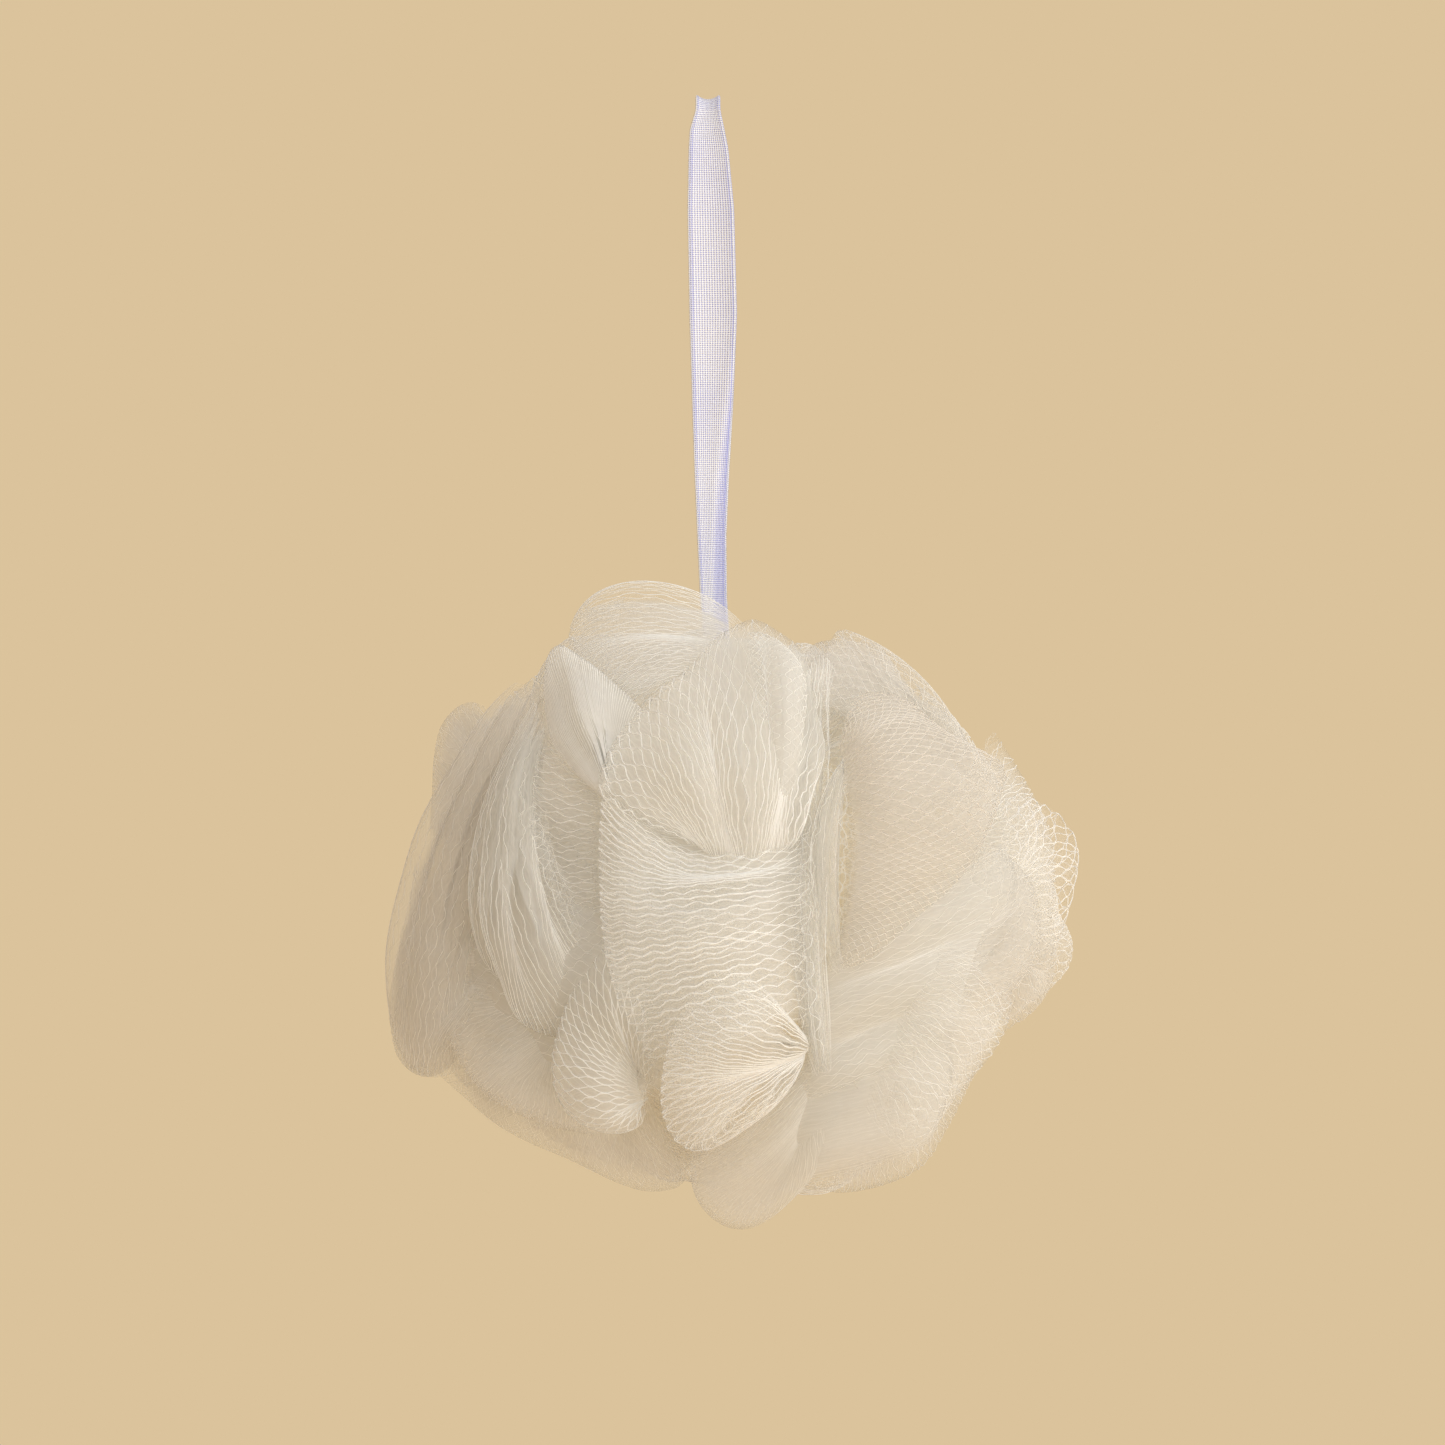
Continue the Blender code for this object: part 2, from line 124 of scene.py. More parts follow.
@dataclass(frozen=True)
class BallForm:
    """Outer form of the ball of netting.

    Attributes:
        radius: radius that the shares of the leaf points count in, metres.
        depth: reach to the back, metres.
        centre: heart of the ball in the row frame.
        outline: share of the radius that the outline reaches, every 15 degrees.
    """

    radius: float = 0.0693
    depth: float = 0.0640
    centre: Point = BALL_CENTRE
    outline: Tuple[float, ...] = (
        1.02, 1.01, 0.88, 0.84, 0.87, 0.78, 0.85, 0.98,
        0.97, 0.92, 0.98, 0.95, 0.96, 1.04, 1.04, 0.95,
        0.90, 0.87, 0.92, 0.88, 0.93, 0.91, 0.88, 0.95,
    )

    def share(self, angle: float) -> float:
        """Share of the radius that the outline reaches at an angle.

        Args:
            angle: angle in the front plane, from the right, in radians.

        Returns:
            The share at that angle.
        """
        steps = len(self.outline)
        place = (angle / (2.0 * math.pi) * steps) % steps
        low = int(place) % steps
        part = place - int(place)
        return self.outline[low] * (1.0 - part) + self.outline[(low + 1) % steps] * part

    def point(self, direction: Sequence[float], shrink: float) -> np.ndarray:
        """Point under the outer form in a direction.

        Args:
            direction: unit direction from the heart.
            shrink: how far inside the outer form, metres.

        Returns:
            The point, counted from the heart.
        """
        across = math.hypot(direction[0], direction[2])
        angle = math.atan2(direction[2], direction[0])
        side = (self.radius * self.share(angle) - shrink) * across
        back = (self.depth - shrink) * direction[1]
        return np.array((side * math.cos(angle), back, side * math.sin(angle)))


class Opening(Enum):
    """Where the strands of a leaf part and the net opens into diamonds."""

    PATCHES = "patches"
    ROOT = "root"
    RIM = "rim"


@dataclass(frozen=True)
class Leaf:
    """One doubled leaf of netting, from its pinched root to its folded rim.

    Attributes:
        name: plain name of the leaf.
        root: points of the pinched root, in shares of the radius: one, two, or
            one for each rim point.
        rim: points along the folded rim, in shares of the radius.
        mid: point half way down the leaf for each rim point, or none.
        pitch: mean gap between strands at the rim, metres.
        cell: length from one joint to the next along a strand, metres.
        puff: how far the leaf swells outwards, metres.
        plump: how far its two layers stand apart, as a share of the usual.
        pleats: number of soft pleats along the rim.
        gather: how unevenly the strands bunch, from 0 to 1.
        zig: swing of neighbouring strands towards each other, in strands.
        wavy: swing of neighbouring strands side by side, in strands.
        hook: half width of the loop that a strand turns in at the rim, in strands.
        pair: swing that joins neighbouring strands in loops at the rim, in strands.
        burst: swing of the strands where the net opens up, in strands.
        opening: where it opens up.
        soft: width of the faded sides, as a share of the rim.
        cover: cover of the outer layer's fine threads, from 0 to 1.
        lining: cover of the inner layer's fine threads, from 0 to 1.
        thick: thickness of the drawn strands, as a share of the boldest ones.
        fade: share of the leaf, from the root, over which the strands fade in.
        veil: place along the rim, place from root to rim and size of a patch where
            the strands blur together, or none.
        shade: how far the leaf's colour is painted with its neighbours' warm shade, from 0 to 1.
        drawn: how far the strands are drawn, 1 at the rim and 2 all the way back.
        fine: whether the leaf gets the finer sampling of the front.
    """

    name: str
    root: Tuple[Point, ...]
    rim: Tuple[Point, ...]
    mid: Tuple[Point, ...] = ()
    pitch: float = 0.0016
    cell: float = 0.0030
    puff: float = 0.0060
    plump: float = 1.0
    pleats: float = 2.0
    gather: float = 0.35
    zig: float = 0.30
    wavy: float = 0.12
    hook: float = 0.0
    pair: float = 0.0
    burst: float = 0.0
    opening: Opening = Opening.PATCHES
    soft: float = 0.12
    cover: float = 0.16
    lining: float = 0.55
    thick: float = 1.0
    fade: float = 0.12
    veil: Tuple[float, ...] = ()
    shade: float = 0.0
    drawn: float = 1.3
    fine: bool = True


def spots(*thousandths: Tuple[int, int, int]) -> Tuple[Point, ...]:
    """Points in shares of the ball's radius.

    Args:
        thousandths: each point's x, y and z, in thousandths of the radius.

    Returns:
        The points.
    """
    return tuple((x / 1000, y / 1000, z / 1000) for x, y, z in thousandths)


def front_leaves() -> List[Leaf]:
    """The leaves on the front of the ball, as the eye reads them from the front.

    Returns:
        The leaves, nearest the middle first.
    """
    return [
        Leaf("crown", spots(
            (169, -840, 195), (144, -850, 170), (117, -860, 152), (89, -860, 140),
            (64, -860, 131), (40, -860, 127), (15, -860, 127), (-9, -860, 134),
            (-34, -860, 143), (-58, -860, 155), (-83, -860, 170), (-107, -860, 186),
            (-132, -850, 198)), rim=spots(
            (215, -730, 496), (221, -690, 631), (203, -640, 757), (141, -600, 828),
            (68, -580, 877), (-3, -610, 858), (-80, -690, 791), (-172, -770, 702),
            (-258, -810, 625), (-332, -840, 551), (-378, -850, 471), (-405, -860, 398),
            (-412, -850, 318)),
            mid=spots(
            (215, -820, 349), (203, -860, 392), (166, -880, 453), (120, -900, 484),
            (74, -910, 502), (21, -920, 496), (-34, -920, 484), (-86, -920, 453),
            (-135, -920, 416), (-175, -910, 367), (-209, -900, 315), (-236, -880, 266),
            (-258, -860, 226)),
            pitch=0.0018, cell=0.0032, puff=0.001, pleats=3, zig=0.14, wavy=0.18, pair=0.5,
            burst=0.36, soft=0.08, cover=0.28, lining=0.66, gather=0.06, opening=Opening.RIM,
            veil=(0.22, 0.84, 0.34), drawn=1.6, thick=0.95),
        Leaf("breast", spots(
            (240, -840, 263), (246, -840, 220), (252, -830, 177), (261, -820, 121),
            (267, -800, 48), (273, -780, -45), (276, -760, -143), (276, -750, -250),
            (273, -740, -342)), rim=spots(
            (-393, -860, 379), (-402, -860, 299), (-408, -860, 189), (-405, -870, 60),
            (-399, -870, -69), (-372, -870, -192), (-335, -860, -303), (-286, -850, -407),
            (-249, -830, -481)),
            mid=spots(
            (-92, -875, 164), (-89, -895, 121), (-86, -910, 75), (-80, -930, 23),
            (-74, -940, -45), (-68, -950, -118), (-52, -950, -223), (-34, -940, -327),
            (-15, -920, -419)),
            pitch=0.0019, cell=0.0028, puff=0.0008, pleats=2, zig=0.05, wavy=0.22, hook=0.25,
            burst=0.42, soft=0.07, cover=0.13, lining=0.62, gather=0.1, drawn=1.5,
            opening=Opening.ROOT, fade=0.42),
        Leaf("chin_fan", spots(
            (215, -790, -404), (215, -790, -407), (215, -790, -413), (215, -790, -419),
            (215, -780, -425), (215, -780, -432), (212, -770, -435), (209, -760, -438),
            (206, -750, -441), (203, -740, -444), (200, -730, -444)), rim=spots(
            (12, -900, -174), (-55, -930, -192), (-107, -950, -232), (-154, -960, -293),
            (-193, -960, -392), (-221, -940, -518), (-221, -910, -622), (-181, -880, -699),
            (-111, -850, -720), (-25, -820, -656), (74, -780, -561)),
            mid=spots(
            (129, -860, -296), (95, -910, -306), (61, -950, -324), (31, -980, -361),
            (9, -980, -410), (-3, -970, -468), (0, -950, -514), (21, -920, -551),
            (52, -890, -567), (89, -850, -548), (138, -810, -499)),
            pitch=0.00145, cell=0.0029, puff=0.0008, pleats=2, zig=0.06, wavy=0.22,
            hook=0.25, burst=0.24, soft=0.08, cover=0.07, lining=0.5, gather=0.08,
            opening=Opening.RIM, fade=0.06, drawn=1.5, shade=0.07),
        Leaf("left_chin", spots(
            (-264, -660, -561)), rim=spots(
            (-215, -790, -315), (-289, -810, -167), (-387, -790, -100), (-458, -770, -186),
            (-516, -750, -318), (-547, -730, -444), (-537, -710, -554), (-491, -690, -628),
            (-399, -680, -665), (-301, -660, -640)),
            pitch=0.0014, cell=0.0029, puff=0.0055, pleats=1.5, zig=0.45, wavy=0.06, hook=0,
            cover=0.32, lining=0.55, gather=0.18, fade=0.35, thick=0.75),
        Leaf("right_shell", spots(
            (326, -760, 487), (326, -770, 471), (329, -780, 450), (329, -790, 419),
            (329, -800, 379), (329, -810, 324), (332, -820, 256), (335, -820, 183),
            (335, -820, 109), (329, -810, 35), (322, -790, -38), (316, -780, -112),
            (310, -760, -180)), rim=spots(
            (369, -620, 625), (448, -610, 631), (534, -580, 613), (636, -530, 542),
            (737, -470, 475), (826, -400, 410), (805, -420, 318), (774, -460, 223),
            (719, -530, 124), (645, -590, 41), (556, -650, -54), (455, -690, -137),
            (356, -710, -198)),
            mid=spots(
            (332, -760, 564), (369, -790, 576), (412, -810, 554), (467, -820, 518),
            (516, -810, 459), (553, -800, 385), (571, -800, 303), (559, -800, 213),
            (534, -800, 127), (491, -790, 41), (442, -770, -38), (387, -760, -118),
            (332, -740, -186)),
            pitch=0.00142, cell=0.0018, puff=0.0008, pleats=2, zig=0.31, wavy=0.06, hook=0,
            cover=0.18, lining=0.5, gather=0.12, thick=0.6, soft=0.05, drawn=1.15, shade=0.2,
            fade=0.2),
        Leaf("shell_fold", spots(
            (307, -790, -198), (310, -800, -198), (313, -800, -198), (316, -800, -192),
            (319, -800, -186)), rim=spots(
            (319, -800, 465), (326, -810, 456), (332, -820, 444), (338, -820, 428),
            (344, -820, 410)),
            mid=spots(
            (221, -830, 146), (246, -860, 152), (270, -870, 158), (295, -870, 158),
            (322, -850, 158)),
            pitch=0.0007, cell=0.004, puff=0.0002, pleats=3, zig=0.03, wavy=0.05, hook=0.1,
            soft=0.45, cover=0.12, lining=0.4, gather=0.3, thick=0.4, fade=0.5, plump=0.4),
        Leaf("slip", spots(
            (246, -740, -499), (255, -750, -505), (264, -760, -505), (276, -750, -499),
            (289, -740, -487)), rim=spots(
            (190, -740, 625), (212, -740, 686), (240, -720, 748), (273, -700, 766),
            (313, -680, 723)),
            mid=spots(
            (154, -800, 72), (181, -830, 78), (209, -850, 84), (240, -860, 91),
            (270, -840, 97)),
            pitch=0.001, cell=0.003, puff=0.0002, pleats=5, zig=0.08, wavy=0.14, hook=0.1,
            soft=0.35, cover=0.14, lining=0.4, gather=0.3, thick=0.5, fade=0.2, plump=0.25),
        Leaf("gill_floor", spots(
            (-743, -460, 349), (-768, -470, 241), (-805, -480, 134), (-835, -460, -5),
            (-854, -440, -143), (-848, -420, -296), (-780, -420, -450), (-596, -440, -616)),
            rim=spots(
            (-289, -620, 336), (-264, -660, 226), (-236, -700, 115), (-200, -760, -20),
            (-154, -800, -143), (-104, -810, -266), (-55, -800, -419), (-12, -750, -573)),
            mid=spots(
            (-534, -570, 349), (-534, -590, 241), (-534, -610, 134), (-519, -650, -5),
            (-488, -690, -143), (-436, -720, -284), (-356, -720, -438), (-270, -690, -597)),
            pitch=0.0015, cell=0.0022, puff=0.0002, pleats=1, zig=0.42, wavy=0.12, soft=0.1,
            cover=0.48, lining=0.85, gather=0.2, thick=0.34),
        Leaf("keel_floor", spots(
            (55, -580, -511), (68, -580, -585), (86, -570, -671), (123, -530, -763),
            (172, -440, -868)), rim=spots(
            (663, -560, -250), (663, -560, -389), (663, -540, -511), (627, -480, -622),
            (559, -400, -739)),
            mid=spots(
            (332, -660, -370), (344, -660, -481), (356, -630, -591), (369, -580, -702),
            (369, -490, -812)),
            pitch=0.0011, cell=0.003, puff=0.0002, pleats=0.5, zig=0.08, wavy=0.12, soft=0.3,
            cover=0.5, lining=0.85, gather=0.1, thick=0.05),
        Leaf("crown_satin", spots(
            (68, -870, 238), (101, -880, 244), (135, -880, 250), (166, -860, 263),
            (190, -820, 287)), rim=spots(
            (25, -700, 822), (68, -680, 840), (114, -670, 834), (160, -670, 809),
            (193, -680, 772)),
            mid=spots(
            (55, -930, 576), (98, -930, 582), (138, -930, 588), (175, -900, 582),
            (200, -850, 557)),
            pitch=0.001, cell=0.0013, puff=0.0003, pleats=1.5, zig=0.4, wavy=0.1, soft=0.45,
            cover=0.5, lining=0.4, gather=0.1, thick=0.4, fade=0.6, plump=0.3),
        Leaf("smile_floor", spots(
            (203, -720, 318), (209, -740, 195), (215, -720, 11), (215, -700, -174)), rim=spots(
            (-332, -740, 392), (-350, -780, 256), (-350, -800, 41), (-319, -800, -174)),
            mid=spots(
            (-43, -760, 318), (-55, -780, 164), (-55, -820, 11), (-43, -820, -174)),
            pitch=0.0014, cell=0.003, puff=0.0002, pleats=1, zig=0.3, wavy=0.12, soft=0.12,
            cover=0.45, lining=0.85, gather=0.2, thick=0.6),
        Leaf("top_dome", spots(
            (25, -420, 846), (25, -440, 834), (21, -460, 818), (12, -480, 803),
            (-6, -520, 785), (-37, -560, 760), (-74, -600, 729), (-111, -620, 693)), rim=spots(
            (-436, -400, 914), (-479, -430, 883), (-501, -460, 840), (-504, -500, 791),
            (-485, -540, 748), (-430, -600, 705), (-350, -660, 640), (-264, -700, 576)),
            mid=spots(
            (-243, -420, 951), (-252, -470, 926), (-258, -520, 889), (-258, -560, 846),
            (-258, -600, 797), (-252, -630, 748), (-227, -660, 686), (-203, -680, 637)),
            pitch=0.00095, cell=0.0026, puff=0.0012, pleats=1.5, zig=0.18, wavy=0.14,
            hook=0.2, soft=0.12, cover=0.05, lining=0.34, gather=0.25, thick=0.5, fade=0.3),
        Leaf("left_curl", spots(
            (-390, -820, 342), (-384, -830, 342), (-378, -840, 346), (-375, -840, 349),
            (-372, -840, 352), (-369, -840, 355), (-365, -840, 361), (-362, -840, 367)), rim=spots(
            (-580, -600, 600), (-580, -610, 693), (-565, -620, 772), (-525, -650, 794),
            (-467, -700, 757), (-399, -750, 711), (-322, -790, 643), (-252, -820, 570)),
            mid=spots(
            (-525, -720, 465), (-507, -750, 502), (-482, -770, 539), (-455, -800, 564),
            (-424, -820, 551), (-393, -830, 530), (-356, -830, 499), (-319, -840, 468)),
            pitch=0.00072, cell=0.003, puff=0.0002, pleats=0.5, zig=0.04, wavy=0.06,
            hook=0.2, soft=0.1, cover=0.4, lining=0.75, gather=0.05, thick=0.5, fade=0.03,
            plump=0.2),
        Leaf("left_gill", spots(
            (-461, -730, 465), (-424, -750, 416), (-402, -760, 355), (-393, -770, 281),
            (-390, -770, 177), (-390, -770, 78), (-393, -770, -14), (-396, -770, -106)), rim=spots(
            (-547, -660, 518), (-577, -660, 478), (-599, -660, 416), (-608, -660, 330),
            (-596, -660, 232), (-559, -670, 134), (-501, -690, 35), (-430, -720, -75)),
            mid=spots(
            (-504, -710, 496), (-498, -720, 453), (-498, -720, 385), (-501, -700, 299),
            (-494, -680, 189), (-473, -680, 91), (-442, -700, -2), (-412, -730, -94)),
            pitch=0.0014, cell=0.0024, puff=0.0004, pleats=1, zig=0.22, wavy=0.12, hook=0.2,
            cover=0.14, lining=0.62, gather=0.2, thick=0.55, shade=0),
        Leaf("gill_edge", spots(
            (-663, -580, 330), (-676, -600, 232), (-666, -620, 134), (-633, -630, 35),
            (-580, -640, -63), (-534, -650, -161), (-485, -660, -247)), rim=spots(
            (-587, -670, 330), (-571, -680, 232), (-541, -700, 134), (-479, -720, 45),
            (-418, -750, -35), (-369, -770, -106), (-338, -770, -192)),
            mid=spots(
            (-627, -670, 336), (-627, -690, 238), (-608, -700, 140), (-559, -720, 48),
            (-504, -740, -45), (-455, -750, -131), (-412, -750, -217)),
            pitch=0.0014, cell=0.0019, puff=0.0004, pleats=1, zig=0.46, wavy=0.05, hook=0,
            cover=0.1, lining=0.3, gather=0.2, thick=0.46, soft=0.2, fade=0.3, plump=0.3),
        Leaf("left_drape", spots(
            (-599, -520, 625), (-593, -540, 607), (-587, -560, 588), (-580, -580, 570),
            (-574, -600, 551), (-568, -610, 539), (-562, -620, 530)), rim=spots(
            (-799, -520, -81), (-749, -570, -192), (-670, -630, -309), (-571, -680, -389),
            (-473, -710, -382), (-412, -740, -284), (-393, -750, -143)),
            mid=spots(
            (-774, -580, 177), (-746, -620, 158), (-716, -660, 127), (-679, -690, 121),
            (-642, -700, 140), (-608, -700, 177), (-577, -680, 220)),
            pitch=0.0011, cell=0.003, puff=0.0006, pleats=4, zig=0.1, wavy=0.08, hook=0.2,
            cover=0.26, lining=0.62, gather=0.3, thick=0.55, fade=0.3, soft=0.2),
        Leaf("left_cheek", spots(
            (-663, -340, 668), (-645, -380, 668), (-623, -410, 665), (-605, -430, 659),
            (-590, -450, 650), (-577, -460, 634)), rim=spots(
            (-1047, -340, -327), (-1032, -380, -432), (-989, -410, -499),
            (-934, -440, -524), (-872, -460, -499), (-817, -470, -438)),
            mid=spots(
            (-952, -380, 195), (-906, -460, 140), (-860, -510, 103), (-817, -530, 97),
            (-780, -530, 121), (-756, -520, 170)),
            pitch=0.0013, cell=0.0028, puff=0.0004, pleats=2.5, zig=0.1, wavy=0.2, hook=0.25,
            burst=0.34, cover=0.3, lining=0.62, gather=0.3, thick=0.3, soft=0.15, fade=0.2,
            shade=0.15),
        Leaf("left_back", spots(
            (-559, -100, 164)), rim=spots(
            (-762, -220, 607), (-805, -220, 619), (-857, -200, 594), (-900, -190, 533),
            (-918, -170, 441), (-924, -150, 333), (-934, -120, 201)),
            pitch=0.0013, cell=0.003, puff=0.003, zig=0.25, wavy=0.12, cover=0.35,
            lining=0.55, thick=0.2, shade=0.1),
        Leaf("left_jowl", spots(
            (-660, -450, -170)), rim=spots(
            (-931, -400, 100), (-1010, -360, -100), (-1050, -340, -269),
            (-1041, -340, -401), (-980, -360, -499), (-891, -420, -521), (-780, -500, -481)),
            pitch=0.0015, cell=0.0026, puff=0.0055, zig=0.16, wavy=0.12, hook=0.2, cover=0.3,
            lining=0.5, gather=0.4, thick=0.16, fade=0.3, shade=0.06, soft=0.3),
        Leaf("low_left", spots(
            (-393, -520, -250), (-534, -500, -266)), rim=spots(
            (-135, -500, -788), (-166, -420, -855), (-258, -380, -874), (-356, -360, -846),
            (-498, -360, -779), (-642, -360, -714), (-743, -350, -656), (-842, -340, -573),
            (-949, -300, -481)),
            pitch=0.0012, cell=0.0024, puff=0.006, pleats=3, zig=0.36, wavy=0.08, cover=0.16,
            lining=0.5, gather=0.4, thick=0.12, soft=0.2, fade=0.4),
        Leaf("low_left_inner", spots(
            (-470, -500, -299)), rim=spots(
            (-872, -500, -220), (-866, -520, -404), (-759, -540, -570), (-599, -580, -659),
            (-412, -620, -699)),
            pitch=0.0013, cell=0.0028, puff=0.005, zig=0.14, wavy=0.18, hook=0.2, cover=0.2,
            lining=0.52, gather=0.4, thick=0.12, soft=0.2, fade=0.4, shade=0.02),
        Leaf("keel", spots(
            (319, -600, -401)), rim=spots(
            (-101, -660, -659), (-129, -600, -791), (-101, -520, -911), (-21, -460, -978),
            (80, -440, -969), (181, -460, -871), (279, -520, -739), (359, -600, -631),
            (369, -640, -511)),
            pitch=0.0012, cell=0.0034, puff=0.0055, pleats=2.5, zig=0.2, wavy=0.1,
            cover=0.34, lining=0.6, gather=0.4, thick=0.14, soft=0.2, fade=0.3, shade=0.02),
        Leaf("low_right", spots(
            (359, -450, -250), (448, -440, -296)), rim=spots(
            (200, -340, -861), (359, -300, -880), (559, -280, -809), (651, -300, -680),
            (719, -320, -539), (789, -340, -419), (820, -360, -299)),
            pitch=0.0014, cell=0.0028, puff=0.006, pleats=3, zig=0.22, wavy=0.16, hook=0.2,
            cover=0.16, lining=0.48, gather=0.35, thick=0.3, soft=0.2, fade=0.4, shade=0.04),
        Leaf("low_right_inner", spots(
            (565, -680, -81), (534, -680, -174), (501, -680, -266), (467, -680, -370),
            (430, -670, -481), (393, -660, -597)), rim=spots(
            (835, -500, -143), (842, -500, -296), (792, -510, -438), (706, -530, -567),
            (627, -540, -665), (534, -540, -763)),
            mid=spots(
            (700, -640, -106), (688, -660, -229), (645, -670, -352), (584, -680, -462),
            (528, -670, -573), (461, -640, -683)),
            pitch=0.0015, cell=0.0026, puff=0.0006, pleats=2, zig=0.2, wavy=0.24, hook=0.25,
            burst=0.4, opening=Opening.RIM, cover=0.1, lining=0.36, gather=0.25, thick=0.42,
            soft=0.35, fade=0.55, shade=0.03),
        Leaf("cream", spots(
            (190, -640, -634), (184, -680, -518), (190, -700, -407), (203, -720, -296),
            (240, -720, -180), (295, -700, -81)), rim=spots(
            (617, -560, -450), (688, -570, -321), (771, -560, -192), (835, -520, -57),
            (860, -460, 72), (817, -420, 195)),
            mid=spots(
            (393, -660, -518), (424, -690, -407), (448, -710, -284), (479, -710, -167),
            (510, -690, -45), (556, -640, 66)),
            pitch=0.0011, cell=0.003, puff=0.0008, pleats=3, zig=0.26, wavy=0.24, soft=0.15,
            cover=0.36, lining=0.85, gather=0.2, thick=0.22, fade=0.4),
        Leaf("right_ear", spots(
            (740, -250, 2)), rim=spots(
            (805, -200, 318), (848, -180, 336), (921, -140, 318), (1007, -100, 263),
            (1053, -80, 170), (1044, -100, 48), (1007, -140, -69), (961, -180, -189)),
            pitch=0.0021, cell=0.0031, puff=0.006, pleats=1.5, zig=0.47, wavy=0.04, hook=0,
            cover=-0.03, lining=0.02, gather=0.3, drawn=2, thick=0.75, shade=0.08),
        Leaf("right_lobe", spots(
            (691, -300, -78)), rim=spots(
            (971, -100, 11), (980, -80, -131), (971, -80, -250), (909, -120, -330),
            (829, -160, -389)),
            pitch=0.0013, cell=0.0028, puff=0.006, zig=0.3, wavy=0.1, cover=0.22,
            lining=0.55, thick=0.5, fade=0.4, shade=0.12),
        Leaf("right_cheek", spots(
            (525, -550, -174), (602, -550, -266)), rim=spots(
            (740, -460, 210), (829, -440, 161), (909, -420, 60), (931, -420, -81),
            (878, -460, -220), (799, -500, -306)),
            pitch=0.0015, cell=0.0024, puff=0.005, zig=0.3, wavy=0.12, cover=0.2, lining=0.6,
            thick=0.28, soft=0.2, fade=0.4, shade=0.12),
        Leaf("right_peak", spots(
            (694, -320, 410)), rim=spots(
            (221, -500, 619), (255, -460, 723), (301, -400, 809), (332, -380, 840),
            (412, -360, 788), (510, -340, 696), (630, -320, 579)),
            pitch=0.0013, cell=0.0019, puff=0.003, zig=0.45, wavy=0.1, hook=0.2, cover=0.1,
            lining=0.35, thick=0.42, fade=0.3, shade=0.1),
        Leaf("right_back", spots(
            (448, -200, 379)), rim=spots(
            (200, -300, 729), (227, -260, 782), (283, -240, 806), (393, -220, 800),
            (461, -200, 772), (531, -200, 671), (620, -200, 579), (713, -220, 490)),
            pitch=0.0013, cell=0.0028, puff=0.003, zig=0.2, wavy=0.1, cover=0.25,
            lining=0.62, thick=0.45, fade=0.3, shade=0.12),
        Leaf("valley", spots(
            (-442, -660, 281), (-405, -680, 275), (-362, -700, 269), (-313, -720, 263)), rim=spots(
            (-498, -520, 674), (-412, -560, 656), (-326, -610, 619), (-240, -640, 576)),
            mid=spots(
            (-485, -620, 484), (-412, -660, 484), (-338, -690, 471), (-264, -720, 447)),
            pitch=0.001, cell=0.003, puff=0.0002, pleats=0.5, zig=0.06, wavy=0.08,
            cover=0.55, lining=0.85, thick=0.2, plump=0.3),
    ]


